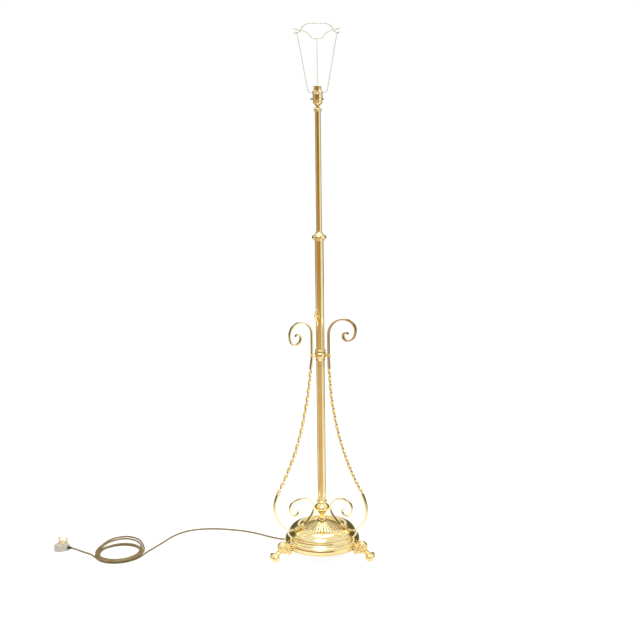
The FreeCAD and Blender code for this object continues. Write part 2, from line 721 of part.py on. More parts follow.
def dome_nuts():
    top = NUT_SEAT_Z
    nut = hexagon(2 * BOLT_NUT_R * 0.87, top - BOLT_NUT_HIGH, top, BOLT_R).cut(
        rod(BOLT_D / 2, 0, 200, BOLT_R))
    return [spun(nut, angle) for angle in FOOT_ANGLES.values()]


# ---------------------------------------------------------------- catch
def catch_plate():
    """Leaf-shaped saddle on the lower tube with two ears for the lever."""
    half_high = (CATCH_TOP - CATCH_LOW) / 2
    mid = (CATCH_TOP + CATCH_LOW) / 2
    tip_low = Vector(0, 0, mid - half_high)
    tip_top = Vector(0, 0, mid + half_high)
    side = 9.0
    outline = Part.Wire([
        Part.Arc(tip_low, Vector(0, side, mid - 4), tip_top).toShape(),
        Part.Arc(tip_top, Vector(0, -side, mid - 4), tip_low).toShape()])
    saddle = Part.Face(outline).extrude(Vector(40, 0, 0)).common(
        tube(OUTER_R + SADDLE, OUTER_R, CATCH_LOW - 5, CATCH_TOP + 5))
    saddle = saddle.cut(box(0, 40, -WINDOW_WIDE / 2, WINDOW_WIDE / 2, PIVOT_Z - 14, PIVOT_Z + 1))
    inner = LEVER_WIDE / 2 + EAR_GAP
    pieces = [saddle]
    for s in (-1, 1):
        ear = box(OUTER_R - 1, PIVOT_R, min(s * inner, s * (inner + EAR_THICK)),
                  max(s * inner, s * (inner + EAR_THICK)), PIVOT_Z - 4, PIVOT_Z + 4)
        ear = ear.fuse(bar_y(4.0, min(s * inner, s * (inner + EAR_THICK)),
                             max(s * inner, s * (inner + EAR_THICK)), PIVOT_R - 1.2, PIVOT_Z))
        pieces.append(ear.cut(rod(OUTER_R, 700, 900)))
    whole = joined(pieces).cut(bar_y(PIVOT_D / 2, -20, 20, PIVOT_R, PIVOT_Z))
    return spun(whole.Solids[0], CATCH_ANGLE)


def catch_pin():
    reach = LEVER_WIDE / 2 + EAR_GAP + EAR_THICK
    pin = bar_y(PIVOT_D / 2, -reach, reach, PIVOT_R, PIVOT_Z)
    for s in (-1, 1):
        head = bar_y(PIVOT_D / 2 + 0.7, min(s * reach, s * (reach + 0.8)),
                     max(s * reach, s * (reach + 0.8)), PIVOT_R, PIVOT_Z)
        pin = pin.fuse(head)
    return spun(joined([pin]), CATCH_ANGLE)


def catch_lever():
    """Thumb lever: pressed at its upper end it draws the shoe off the sliding tube."""
    def side(points):
        edges = []
        here = Vector(points[0][0], 0, points[0][1])
        for step in points[1:]:
            there = Vector(step[-2], 0, step[-1])
            if len(step) == 4:
                edges.append(Part.Arc(here, Vector(step[0], 0, step[1]), there).toShape())
            else:
                edges.append(Part.LineSegment(here, there).toShape())
            here = there
        return Part.Face(Part.Wire(edges))
    p = PIVOT_R
    z = PIVOT_Z
    plate = side([(p - 1.6, z - 2.5), (p - 1.2, z - 12), (p + 0.4, z - 16), (p + 2.6, z - 8, p + 3.0, z + 2),
                  (p + 3.2, z + 9, p + 4.6, z + 14), (p + 3.2, z + 15.4), (p + 0.6, z + 10),
                  (p - 0.6, z + 4, p - 1.6, z - 2.5)])
    body = plate.extrude(Vector(0, LEVER_WIDE, 0))
    body.translate(Vector(0, -LEVER_WIDE / 2, 0))
    shoe_wide = WINDOW_WIDE - 2 * EAR_GAP - 0.4
    tip = INNER_R + SHOE_GAP
    shoe = side([(p, z - 3.2), (tip + 1.0, z - 4.4), (tip, z - 5.2), (tip, z - 8.2),
                 (tip + 1.2, z - 9.2), (p, z - 9.2), (p, z - 3.2)]).extrude(Vector(0, shoe_wide, 0))
    shoe.translate(Vector(0, -shoe_wide / 2, 0))
    whole = joined([body, shoe]).cut(bar_y(PIVOT_D / 2 + PIN_GAP, -20, 20, p, z))
    return spun(whole.Solids[0], CATCH_ANGLE)


def catch_spring():
    """Bent leaf spring between the lever's thumb end and the saddle."""
    a = OUTER_R + SADDLE
    top = PIVOT_Z + 9.0
    stations = [flat(a + SPRING_THICK / 2, PIVOT_Z + 3.0, 0, 1),
                flat(a + SPRING_THICK / 2, top - 4, 0, 1),
                flat(PIVOT_R + 0.1, top, 0.9, 0.2)]
    path = smooth_path(stations)
    leafed = strip(path, SPRING_WIDE, SPRING_THICK, *stations[0])
    return spun(leafed, CATCH_ANGLE)


# ---------------------------------------------------------------- lampholder
def top_knob():
    """Turned cup that plugs the sliding tube and carries the threaded tube."""
    t = KNOB_TOP
    return turned([
        (THREAD_D / 2, t - 30), (INNER_BORE_R, t - 30), (INNER_BORE_R, INNER_TOP),
        (INNER_R + 0.4, INNER_TOP), (11.6, INNER_TOP + 1.2, KNOB_R - 0.5, INNER_TOP + 3.4),
        (KNOB_R, t - 7, KNOB_R - 0.6, t - 4.2), (KNOB_R - 2.2, t - 3.0), (8.4, t - 1.6, 6.6, t),
        (THREAD_D / 2, t)])


def threaded_tube():
    return tube(THREAD_D / 2, THREAD_BORE / 2, KNOB_TOP - 30, CAP_LOW + 9)


def holder_cap():
    """Bell-shaped lower body of the lampholder, with a hole each side for the switch bar."""
    w = CAP_WALL
    low = CAP_LOW
    body = turned([
        (THREAD_D / 2, low), (6.8, low), (6.8, low + 4.5), (8.8, low + 6.4),
        (13.2, low + 10.0, CAP_R - 1.0, low + 18.0), (CAP_R, low + 22.0), (CAP_R, CAP_TOP),
        (CAP_R - w, CAP_TOP), (CAP_R - w, low + 22.2),
        (12.2, low + 11.2, 8.4, low + 8.0), (THREAD_D / 2, low + 8.0)])
    hole = bar_x(BAR_D / 2 + HOLE_GAP, -30, 30, 0, BAR_Z)
    return body.cut(hole).Solids[0]


def block_top():
    return BARREL_TOP - SEAT_DEPTH - PLUNGER_OUT


def contact_block():
    """Insulating block with bores for the two contacts and a passage for the switch bar."""
    top = block_top()
    low = BAR_Z - 6.0
    body = turned([(0, low), (CAP_R - CAP_WALL - 2.0, low), (CAP_R - CAP_WALL - 2.0, CAP_TOP),
                   (BLOCK_R, CAP_TOP), (BLOCK_R, top), (0, top)])
    for s in (-1, 1):
        x, y = plunger_at(s)
        body = body.cut(rod(PLUNGER_D / 2 + RUN_GAP, PLUNGER_FLOOR, top + 1, x, y))
    body = body.cut(bar_x(BAR_D / 2 + RUN_GAP, -30, 30, 0, BAR_Z))
    return body.cut(rod(CORD_R + 0.4, low - 1, low + 3.0)).Solids[0]


def plunger_at(side):
    turn = math.radians(SLOT_ANGLE + 90)
    return (side * PLUNGER_PITCH / 2 * math.cos(turn), side * PLUNGER_PITCH / 2 * math.sin(turn))


def plunger(side):
    x, y = plunger_at(side)
    top = block_top() + PLUNGER_OUT
    low = PLUNGER_FLOOR + SPRING_LONG
    body = rod(PLUNGER_D / 2, low, top - 0.8, x, y)
    tip = Part.makeCone(PLUNGER_D / 2, PLUNGER_D / 2 - 0.7, 0.8, Vector(x, y, top - 0.8), UP)
    return joined([body, tip])


def plunger_springs():
    springs = []
    for s in (-1, 1):
        x, y = plunger_at(s)
        radius = PLUNGER_D / 2 - 0.35
        turns = 3
        rise = SPRING_LONG / turns
        stations = []
        for i in range(turns * 2 + 1):
            turn = math.pi * i
            z = PLUNGER_FLOOR + 0.3 + (SPRING_LONG - 0.6) * i / (turns * 2)
            slope = rise / (2 * math.pi * radius)
            stations.append((Vector(x + radius * math.cos(turn), y + radius * math.sin(turn), z),
                             Vector(-math.sin(turn), math.cos(turn), slope).normalize()))
        edges = smooth_path(stations)
        springs.append(swept(edges, ring_profile(0.25, *stations[0])))
    return springs


def holder_barrel():
    """Bayonet barrel on the cap's rim, with two J-shaped slots for the lamp cap's pins."""
    top = BARREL_TOP
    flange = FLANGE_TOP
    body = turned([
        (BLOCK_R, CAP_TOP), (CAP_R, CAP_TOP), (CAP_R + 0.5, flange - 1.5), (CAP_R, flange),
        (BARREL_R, flange), (BARREL_R, top - 0.8), (BARREL_R - 0.6, top), (BARREL_BORE_R, top),
        (BARREL_BORE_R, CAP_STOP), (BLOCK_R, CAP_STOP)])
    reach = BARREL_R + 2
    drop = 8.0
    slot = box(0, reach, -SLOT_WIDE / 2, SLOT_WIDE / 2, top - drop, top + 1)
    catch = box(0, reach, -SLOT_WIDE / 2, SLOT_WIDE * 1.5, top - drop, top - drop + SLOT_WIDE)
    rest = box(0, reach, SLOT_WIDE / 2 + 0.2, SLOT_WIDE * 1.5, top - drop, top - drop + SLOT_WIDE + 1.6)
    cutter = slot.fuse([catch, rest])
    for turn in (SLOT_ANGLE, SLOT_ANGLE + 180):
        body = body.cut(spun(cutter, turn))
    return body.Solids[0]


def shade_ring():
    """Threaded ring that clamps the shade carrier on the barrel's flange."""
    low = FLANGE_TOP + FITTER_THICK
    r = SHADE_RING_R
    body = turned([
        (BARREL_R + RUN_GAP, low + RING_LIFT), (r - 0.8, low + RING_LIFT), (r, low + 0.9),
        (r, low + SHADE_RING_HIGH - 1.0), (r - 1.0, low + SHADE_RING_HIGH - 0.2),
        (r - 3.6, low + SHADE_RING_HIGH), (BARREL_R + RUN_GAP, low + SHADE_RING_HIGH)])
    for i in range(KNURLS):
        nick = rod(0.5, low, low + SHADE_RING_HIGH - 1.0, r + 0.15)
        body = body.cut(spun(nick, 360.0 * i / KNURLS))
    return body.Solids[0]


def switch_bar():
    end = BAR_END_R
    bar = bar_x(BAR_D / 2, -BAR_LEFT + end, BAR_RIGHT - end, 0, BAR_Z)
    left = Part.makeSphere(end, Vector(-BAR_LEFT + end, 0, BAR_Z))
    right = Part.makeSphere(end, Vector(BAR_RIGHT - end, 0, BAR_Z))
    return joined([bar, left, right])


# ---------------------------------------------------------------- shade carrier
def shade_carrier():
    """Wire frame: washer-like fitter, three struts and a scalloped top ring."""
    seat = FLANGE_TOP
    washer = tube(FITTER_R, BARREL_R + 0.2, seat, seat + FITTER_THICK)
    mid = seat + FITTER_THICK / 2
    pieces = [washer]
    for angle in FOOT_ANGLES.values():
        lean = flat(RING_R, DIP_Z, RING_R - STRUT_LOW_R, DIP_Z - mid - 10)[1]
        start = (Vector(FITTER_R - 1.6, 0, mid), Vector(1, 0, 0))
        path = smooth_path([
            start, (Vector(STRUT_LOW_R - 9, 0, mid), Vector(1, 0, 0)),
            (Vector(STRUT_LOW_R + 2.2, 0, mid + 12), lean), (Vector(RING_R, 0, DIP_Z), lean)])
        pieces.append(spun(swept(path, ring_profile(WIRE_R * 0.9, *start)), angle))
    pieces.append(scalloped_ring())
    return joined(pieces)


def scalloped_ring():
    """Closed wire ring that dips where the struts meet it and humps between them."""
    shape = [(0, 0, 0), (12, 0, 0.15), (17.5, 0.36, 1.1), (22, 0.62, 0.75), (60, 1, 0)]
    stations = []
    for strut in sorted(FOOT_ANGLES.values()):
        for angle, rise, slope in shape:
            stations.append((strut + angle, rise * HUMP_RISE, slope))
        for angle, rise, slope in reversed(shape[1:-1]):
            stations.append((strut + 120 - angle, rise * HUMP_RISE, -slope))
    placed = []
    for angle, rise, slope in stations:
        a = math.radians(angle)
        placed.append((Vector(RING_R * math.cos(a), RING_R * math.sin(a), DIP_Z + rise),
                       Vector(-math.sin(a), math.cos(a), slope).normalize()))
    placed.append(placed[0])
    return swept(smooth_path(placed), ring_profile(WIRE_R, *placed[0]))


# ---------------------------------------------------------------- cord
def cord_relief():
    """Tapered rubber sleeve where the cord leaves, along +X at the clip's height."""
    length = RELIEF_OUT - RELIEF_IN
    collar = CLIP_IN + CLIP_LONG + 1.5 - RELIEF_IN
    edges = [(0, 0), (RELIEF_R, 0), (RELIEF_R, collar), (RELIEF_R - 0.9, collar + 1.2),
             (RELIEF_TIP_R, length), (0, length)]
    body = turned(edges).cut(rod(CORD_R, -1, length + 1))
    body.Placement = Placement(Vector(RELIEF_IN, 0, CLIP_Z), Rotation(Vector(0, 1, 0), 90))
    return spun(body.Solids[0], CORD_ANGLE)


def cord_clip():
    a = CLIP_IN
    b = CLIP_IN + CLIP_LONG
    outer = RELIEF_R + CLIP_WALL
    strap = bar_x(outer, a, b, 0, CLIP_Z).fuse(box(a, b, -outer, outer, CLIP_Z, RIM_Z))
    flange = box(a, b, -CLIP_SCREW_Y - 4, CLIP_SCREW_Y + 4, RIM_Z - CLIP_WALL, RIM_Z)
    whole = joined([strap, flange])
    whole = whole.cut(bar_x(RELIEF_R, a - 1, b + 1, 0, CLIP_Z)).cut(
        box(a - 1, b + 1, -RELIEF_R, RELIEF_R, CLIP_Z, RIM_Z - CLIP_WALL))
    for s in (-1, 1):
        whole = whole.cut(rod(CLIP_SCREW_R, 0, 60, CLIP_IN + CLIP_LONG / 2, s * CLIP_SCREW_Y))
    return spun(whole.Solids[0], CORD_ANGLE)


def clip_screws():
    screws = []
    for s in (-1, 1):
        x = CLIP_IN + CLIP_LONG / 2
        y = s * CLIP_SCREW_Y
        low = RIM_Z - CLIP_WALL
        screw = joined([rod(CLIP_SCREW_R, low, RIM_Z + CLIP_GRIP - 1, x, y),
                        rod(3.0, low - 2.0, low, x, y).cut(box(x - 4, x + 4, y - 0.4, y + 0.4, low - 3, low - 1.2))])
        screws.append(spun(screw, CORD_ANGLE))
    return screws


def inner_flex():
    """The cord inside: through the sleeve, up the threaded tubes to the contact block."""
    bend = NIPPLE_LOW - CLIP_Z
    top = BAR_Z - 4.5
    start = Vector(RELIEF_OUT, 0, CLIP_Z)
    edges = [Part.LineSegment(start, Vector(bend, 0, CLIP_Z)).toShape(),
             tangent_arc(Vector(bend, 0, CLIP_Z), Vector(-1, 0, 0), Vector(0, 0, CLIP_Z + bend)),
             Part.LineSegment(Vector(0, 0, CLIP_Z + bend), Vector(0, 0, top)).toShape()]
    return spun(swept(edges, ring_profile(CORD_R, start, Vector(-1, 0, 0))), CORD_ANGLE)


def exit_point(further=0.0, height=CLIP_Z):
    """Where the cord leaves its sleeve, or a point further out on the same line."""
    a = math.radians(CORD_ANGLE)
    reach = RELIEF_OUT + further
    return (reach * math.cos(a), reach * math.sin(a), height)


def coil_radius(turns):
    middle = COIL_TURNS_IN
    away = abs(turns - middle)
    smooth = math.sqrt(away * away + 0.0225) - 0.15
    return COIL_R + COIL_PITCH * (smooth - middle + 0.15)


def coil_at(turns):
    """Centre of the wound cord after so many turns, clockwise seen from above."""
    angle = math.radians(COIL_START - 360.0 * turns)
    radius = coil_radius(turns)
    off = math.cos(angle - math.radians(LOOP_ANGLE))
    grown = ease((turns - 3.15) / 0.5) * (0.80 + 0.2 * ease((turns - 4.1) / 0.6))
    if off > 0:
        radius += LOOP_OUT * grown * off ** 4
    climb = ease((turns - COIL_TURNS_IN + 0.25) / 0.5)
    outside = 1 - ease((radius - COIL_R) / 20.0)
    z = CORD_R + LAYER * climb * outside
    return Vector(COIL_X + radius * math.cos(angle), COIL_Y + radius * math.sin(angle), z)


def ease(t):
    t = max(0.0, min(1.0, t))
    return t * t * (3 - 2 * t)


def coil_stations():
    stations = []
    turns = 0.0
    while turns < COIL_TURNS + 1e-9:
        near = 1e-4
        along = Vector(coil_at(turns + near) - coil_at(turns - near)).normalize()
        if turns == 0.0:
            along = Vector(along.x, along.y, 0).normalize()
        stations.append((coil_at(turns), along))
        step = 0.25 if turns < 2.0 else 0.125
        if turns < COIL_TURNS - 1e-9:
            turns = min(turns + step, COIL_TURNS)
        else:
            break
    return stations


def cord_coil():
    stations = coil_stations()
    edges = smooth_path(stations)
    solid = swept(edges, ring_profile(CORD_R, *stations[0]))
    points = []
    travelled = 0.0
    for edge in edges:
        for i in range(8):
            at = edge.getParameterByLength(edge.Length * i / 8)
            points.append((travelled + edge.Length * i / 8, edge.valueAt(at)))
        travelled += edge.Length
    least = min((q - p).Length - CORD_D for i, (s, p) in enumerate(points)
                for t, q in points[i + 1:] if t - s > 60)
    print("cord_coil length %.0f" % travelled, "least gap to itself %.2f" % least,
          "volume ratio %.4f" % (solid.Volume / (math.pi * CORD_R ** 2 * travelled)))
    return solid


def free_route():
    start = coil_at(0)
    near = coil_at(-0.01)
    back = Vector(near - start).normalize()
    before = start + Vector(back.x, back.y, 0).normalize() * 42
    return [exit_point(), exit_point(18.0), exit_point(46.0, 8.0), exit_point(78.0, 3.6),
            exit_point(119.0, CORD_R),
            (-236.0, 154.0, CORD_R), (-284.0, 179.0, CORD_R), (-336.0, 195.0, CORD_R),
            (-388.0, 205.0, CORD_R), (-438.0, 206.0, CORD_R), (-486.0, 194.0, CORD_R),
            (-524.0, 166.0, CORD_R), (-550.0, 127.0, CORD_R), (-569.0, 83.0, CORD_R),
            (-590.0, 40.0, CORD_R), (before.x, before.y, CORD_R), (start.x, start.y, CORD_R)]


def tail_route():
    """From the coil's end down to the floor and to the plug, in steps from that end."""
    end, along = coil_stations()[-1]
    steps = [(-17, 25, -1.5), (-35, 46, -5.0), (-57, 62, -6.0), (-80, 72, -1.5)]
    return [tuple(end)] + [(end.x + x, end.y + y, end.z + z) for x, y, z in steps] + [plug_entry()]


def plug_entry():
    end, along = coil_stations()[-1]
    return (end.x - 102, end.y + 80, ENTRY_Z)


def plug_frame(shape):
    """Place a plug piece, made along +X from the cord's entry, at the end of the tail."""
    route = tail_route()
    a = Vector(*route[-2])
    b = Vector(*route[-1])
    heading = math.degrees(math.atan2(b.y - a.y, b.x - a.x))
    placed = shape.copy()
    placed.rotate(CENTRE, UP, heading)
    placed.translate(Vector(b.x, b.y, 0))
    return placed


def plug_body():
    half = PLUG_WIDE / 2
    nose = 9.0
    long = PLUG_LONG
    start = PLUG_SLEEVE
    points = [(start, -nose), (start + 8, -nose - 3), (start + 20, -half), (start + long - 7, -half),
              (start + long, -half + 7), (start + long, half - 7), (start + long - 7, half),
              (start + 20, half), (start + 8, nose + 3), (start, nose)]
    vectors = [Vector(x, y, PLUG_LIFT) for x, y in points]
    body = Part.Face(Part.makePolygon(vectors + [vectors[0]])).extrude(UP * PLUG_HIGH)
    top = [e for e in body.Edges if abs(e.CenterOfMass.z - PLUG_LIFT - PLUG_HIGH) < 0.01
           or abs(e.CenterOfMass.z - PLUG_LIFT) < 0.01]
    body = body.makeChamfer(1.6, top)
    return plug_frame(body.Solids[0])


def plug_sleeve():
    body = turned([(CORD_R, 0), (CORD_R + 0.9, 0), (CORD_R + 2.6, PLUG_SLEEVE), (CORD_R, PLUG_SLEEVE)])
    body.Placement = Placement(Vector(0, 0, ENTRY_Z), Rotation(Vector(0, 1, 0), 90))
    return plug_frame(body)


def plug_pins():
    """Three flat pins, the upper one longer, standing up from the plug's face."""
    top = PLUG_LIFT + PLUG_HIGH
    far = PLUG_SLEEVE + PLUG_LONG - 12
    near = far - 22.2
    pins = []
    for x, y, length, width, deep in ((near, -11.1, 17.7, 4.0, 6.35), (near, 11.1, 17.7, 4.0, 6.35),
                                      (far, 0.0, 22.7, 8.0, 4.0)):
        pin = box(x - width / 2, x + width / 2, y - deep / 2, y + deep / 2, top, top + length)
        ends = [e for e in pin.Edges if abs(e.CenterOfMass.z - top - length) < 0.01]
        pins.append(plug_frame(pin.makeChamfer(0.8, ends)))
    return pins


# ---------------------------------------------------------------- build
export("base_dome", base_dome())
export("base_weight", base_weight())
one_foot = foot()
for name, angle in FOOT_ANGLES.items():
    export("foot_" + name, spun(one_foot, angle))
    export("side_arm_" + name, spun(side_arm(name), angle))
    export("c_scroll_" + name, spun(c_scroll(name), angle))
export("foot_screws", *foot_screws())
export("stem_nipple", stem_nipple())
export("lock_washer", lock_washer())
export("lock_nut", lock_nut())
export("neck", neck())
export("knop", knop())
export("outer_tube", outer_tube())
export("mid_collar", mid_collar())
export("arm_nuts", *arm_nuts())
export("dome_bolts", *dome_bolts())
export("dome_nuts", *dome_nuts())
export("top_collar", top_collar())
export("guide_bush", guide_bush())
export("inner_tube", inner_tube())
export("inner_bush", inner_bush())
export("catch_plate", catch_plate())
export("catch_pin", catch_pin())
export("catch_lever", catch_lever())
export("catch_spring", catch_spring())
export("top_knob", top_knob())
export("threaded_tube", threaded_tube())
export("holder_cap", holder_cap())
export("contact_block", contact_block())
export("holder_barrel", holder_barrel())
export("plunger_a", plunger(-1))
export("plunger_b", plunger(1))
export("plunger_springs", *plunger_springs())
export("shade_ring", shade_ring())
export("switch_bar", switch_bar())
export("shade_carrier", shade_carrier())
export("cord_relief", cord_relief())
export("cord_clip", cord_clip())
export("clip_screws", *clip_screws())
export("inner_flex", inner_flex())
export("cord", rounded_route(free_route(), CORD_D, "cord"))
export("cord_coil", cord_coil())
export("cord_tail", rounded_route(tail_route(), CORD_D, "cord_tail"))
export("plug_sleeve", plug_sleeve())
export("plug_body", plug_body())
export("plug_pins", *plug_pins())
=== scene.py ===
# %% [markdown]
# A brass telescopic standard lamp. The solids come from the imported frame, in metres, with
# the floor at z = 0 and the column on the Z axis. This lesson gives them their looks: the
# camera and the flexible cord first, then the finishes, then the dome and the feet, which
# need a finer surface than their solids have, and last the studio round them.

# %% Open the frame
import math

import bmesh
import bpy
from mathutils import Matrix, Vector


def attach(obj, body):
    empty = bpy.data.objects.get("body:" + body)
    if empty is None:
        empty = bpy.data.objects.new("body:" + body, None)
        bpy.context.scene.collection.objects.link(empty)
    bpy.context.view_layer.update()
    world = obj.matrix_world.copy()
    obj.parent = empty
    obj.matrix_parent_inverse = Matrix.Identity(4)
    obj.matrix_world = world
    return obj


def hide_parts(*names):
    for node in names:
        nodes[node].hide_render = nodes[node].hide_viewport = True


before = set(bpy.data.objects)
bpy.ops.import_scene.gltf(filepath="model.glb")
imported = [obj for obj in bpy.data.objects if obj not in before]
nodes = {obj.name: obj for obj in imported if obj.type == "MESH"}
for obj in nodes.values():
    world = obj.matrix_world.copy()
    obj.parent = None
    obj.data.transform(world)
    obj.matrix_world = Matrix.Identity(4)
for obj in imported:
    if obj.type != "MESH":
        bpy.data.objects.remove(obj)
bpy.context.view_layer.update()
print("nodes in the frame:", len(nodes))

# %% [markdown]
# The picture was taken from about three metres with a normal lens held at chest height
# and tipped down a little. A small roll makes the column lean as it does there. The
# camera's axes are written as a matrix, because that is easier to check than angles.

# %% Camera
CAMERA_PLACE = (0, -2.96, 1.24)
LENS = 50
SENSOR = 36
TIP = math.radians(8.2)
LEAN = math.radians(0.62)


def put_in_scene(name, data):
    """A new object that holds the data, linked to the scene."""
    thing = bpy.data.objects.new(name, data)
    bpy.context.scene.collection.objects.link(thing)
    return thing


def place_camera():
    camera = put_in_scene("camera", bpy.data.cameras.new("camera"))
    camera.data.lens = LENS
    camera.data.sensor_width = SENSOR
    forward = Vector((0, math.cos(TIP), -math.sin(TIP)))
    up = Vector((0, math.sin(TIP), math.cos(TIP)))
    right = Vector((1, 0, 0))
    across = right * math.cos(LEAN) - up * math.sin(LEAN)
    upright = right * math.sin(LEAN) + up * math.cos(LEAN)
    axes = Matrix((across, upright, -forward)).transposed().to_4x4()
    camera.matrix_world = Matrix.Translation(CAMERA_PLACE) @ axes
    bpy.context.scene.camera = camera
    return camera


camera = place_camera()
bpy.context.scene.view_settings.view_transform = "Standard"
print("camera stands at", tuple(round(c, 2) for c in camera.location))

# %% [markdown]
# The flex leaves the base through a rubber sleeve, runs over the floor to the left in
# one slack curve and is wound into a round coil of five turns in two layers, the last
# loops thrown out behind. It could be a swept mesh, but one NURBS line stays smooth and
# is easy to lead elsewhere. The points of the free stretches are listed in millimetres,
# and the coil's come from the formula of a spiral that winds in on the floor and out
# again on top.

# %% Route of the flex
MM = 0.001
FLEX_R = 3.0
FREE_POINTS = [
    (-94.35, 60.34, 12.0), (-109.5, 70.0, 12.0), (-133.1, 85.1, 8.0), (-160.1, 102.4, 3.6),
    (-194.6, 124.5, 3.0), (-236.0, 154.0, 3.0), (-284.0, 179.0, 3.0), (-336.0, 195.0, 3.0),
    (-388.0, 205.0, 3.0), (-438.0, 206.0, 3.0), (-486.0, 194.0, 3.0), (-524.0, 166.0, 3.0),
    (-550.0, 127.0, 3.0), (-569.0, 83.0, 3.0), (-590.0, 40.0, 3.0), (-610.9, -2.0, 3.0)]
COIL_MIDDLE = (-706.0, -12.0)
COIL_R = 86.0
COIL_PITCH = 7.2
COIL_TURNS = 5.35
COIL_START = -20.0                 # degrees, where the free stretch meets the coil
TURN_POINTS = 16
TURNS_IN = 2.5                     # turns on the floor, before those on top
TURN_BACK = 0.15                   # turns over which winding in becomes winding out
CLIMB = 0.5                        # turns that the climb to the upper layer takes
LAYER = 7.0
LOOP_OUT = 76.0
LOOP_ANGLE = 97.0
FIRST_LOOP = (3.15, 0.5)           # turn where it starts to grow, and turns that it takes
LAST_LOOP = (4.1, 0.6)
FIRST_SHARE = 0.80                 # size of the first loop, beside the last
LOOP_DROP = 20.0                   # a loop is back on the floor this far outside the coil
TAIL_STEPS = [(-17, 25, -1.5), (-35, 46, -5.0), (-57, 62, -6.0), (-80, 72, -1.5)]
PLUG_STEP = (-102, 80)
PLUG_HEIGHT = 11.0


def ease(t):
    """Smooth step from 0 to 1."""
    t = max(0.0, min(1.0, t))
    return t * t * (3 - 2 * t)


def coil_point(turns):
    angle = math.radians(COIL_START - 360.0 * turns)
    away = math.sqrt((turns - TURNS_IN) ** 2 + TURN_BACK ** 2) - TURN_BACK
    radius = COIL_R + COIL_PITCH * (away - TURNS_IN + TURN_BACK)
    off = math.cos(angle - math.radians(LOOP_ANGLE))
    first = ease((turns - FIRST_LOOP[0]) / FIRST_LOOP[1])
    last = ease((turns - LAST_LOOP[0]) / LAST_LOOP[1])
    if off > 0:
        radius += LOOP_OUT * first * (FIRST_SHARE + (1 - FIRST_SHARE) * last) * off ** 4
    climbed = ease((turns - TURNS_IN + CLIMB / 2) / CLIMB)
    on_top = climbed * (1 - ease((radius - COIL_R) / LOOP_DROP))
    return (COIL_MIDDLE[0] + radius * math.cos(angle),
            COIL_MIDDLE[1] + radius * math.sin(angle), FLEX_R + LAYER * on_top)


def flex_route():
    wound = [coil_point(i / TURN_POINTS) for i in range(int(COIL_TURNS * TURN_POINTS) + 1)]
    wound.append(coil_point(COIL_TURNS))
    end = wound[-1]
    tail = [(end[0] + x, end[1] + y, end[2] + z) for x, y, z in TAIL_STEPS]
    tail.append((end[0] + PLUG_STEP[0], end[1] + PLUG_STEP[1], PLUG_HEIGHT))
    return [Vector(p) * MM for p in FREE_POINTS + wound + tail]


print("points in the route:", len(flex_route()))

# %% [markdown]
# A bevel gives the line its round section. Each point carries the flex's radius and the
# bevel is 1, because a curve's box is reckoned from the radii of its points. The length is
# read from the same line with its bevel off.

# %% Mains flex
LINE_STEPS = 6                     # straight pieces between two points
BEVEL_STEPS = 4


def nurbs_tube(name, points, radius):
    curve = bpy.data.curves.new(name, "CURVE")
    curve.dimensions = "3D"
    spline = curve.splines.new("NURBS")
    spline.points.add(len(points) - 1)
    for point, place in zip(spline.points, points):
        point.co = (*place, 1)
        point.radius = radius
    spline.order_u = 3
    spline.use_endpoint_u = True
    spline.resolution_u = LINE_STEPS
    curve.bevel_depth = 1.0
    curve.bevel_resolution = BEVEL_STEPS
    curve.use_fill_caps = True
    return put_in_scene(name, curve)


def shown_mesh(thing):
    """The mesh of an object as it shows, modifiers and bevel included."""
    bpy.context.view_layer.update()
    view = bpy.context.evaluated_depsgraph_get()
    return bpy.data.meshes.new_from_object(thing.evaluated_get(view))


def line_length(tube):
    """Length of the line itself, with its thickness off."""
    thick = tube.data.bevel_depth
    tube.data.bevel_depth = 0
    points = [v.co for v in shown_mesh(tube).vertices]
    tube.data.bevel_depth = thick
    return sum((b - a).length for a, b in zip(points, points[1:]))


flex = nurbs_tube("mains_flex", flex_route(), FLEX_R * MM)
flex_length = line_length(flex)
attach(flex, "stand")
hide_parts("cord", "cord_coil", "cord_tail")
tuple(flex_route()[0])
print("flex: %.2f m long" % flex_length)

# %% [markdown]
# Shader maths reads best as plain arithmetic. One small class holds a socket and turns
# Python's operators into Math nodes.

# %% Sockets that can be reckoned with
class Wire:
    """A socket that can be added, multiplied and so on."""

    def __init__(self, shop, socket):
        self.shop = shop
        self.socket = socket

    def __add__(self, other):
        return self.shop.maths("ADD", self, other)

    def __sub__(self, other):
        return self.shop.maths("SUBTRACT", self, other)

    def __rsub__(self, other):
        return self.shop.maths("SUBTRACT", other, self)

    def __mul__(self, other):
        return self.shop.maths("MULTIPLY", self, other)

    def __pow__(self, other):
        return self.shop.maths("POWER", self, other)

    __radd__ = __add__
    __rmul__ = __mul__

    def between(self, low, high):
        """0 below low, 1 above high, smooth in the middle."""
        return self.shop.node("ShaderNodeMapRange", {"interpolation_type": "SMOOTHSTEP"},
                              {"Value": self, "From Min": low, "From Max": high}).out()

    def band(self, low, full, fading, gone):
        """1 from full to fading, and 0 below low and above gone."""
        return self.between(low, full) * (1 - self.between(fading, gone))


print("sockets take +, -, * and **")

# %% [markdown]
# The workshop makes every node of a finish: its type, its settings first, then the values
# or links of its sockets. A colour is three numbers. The rest of its methods are the few
# groups of nodes that every finish of this lamp needs.

# %% Workshop for finishes
class Made:
    """A node, whose outputs come out as wires."""

    def __init__(self, shop, node):
        self.shop = shop
        self.made = node

    def out(self, name=0):
        return Wire(self.shop, self.made.outputs[name])


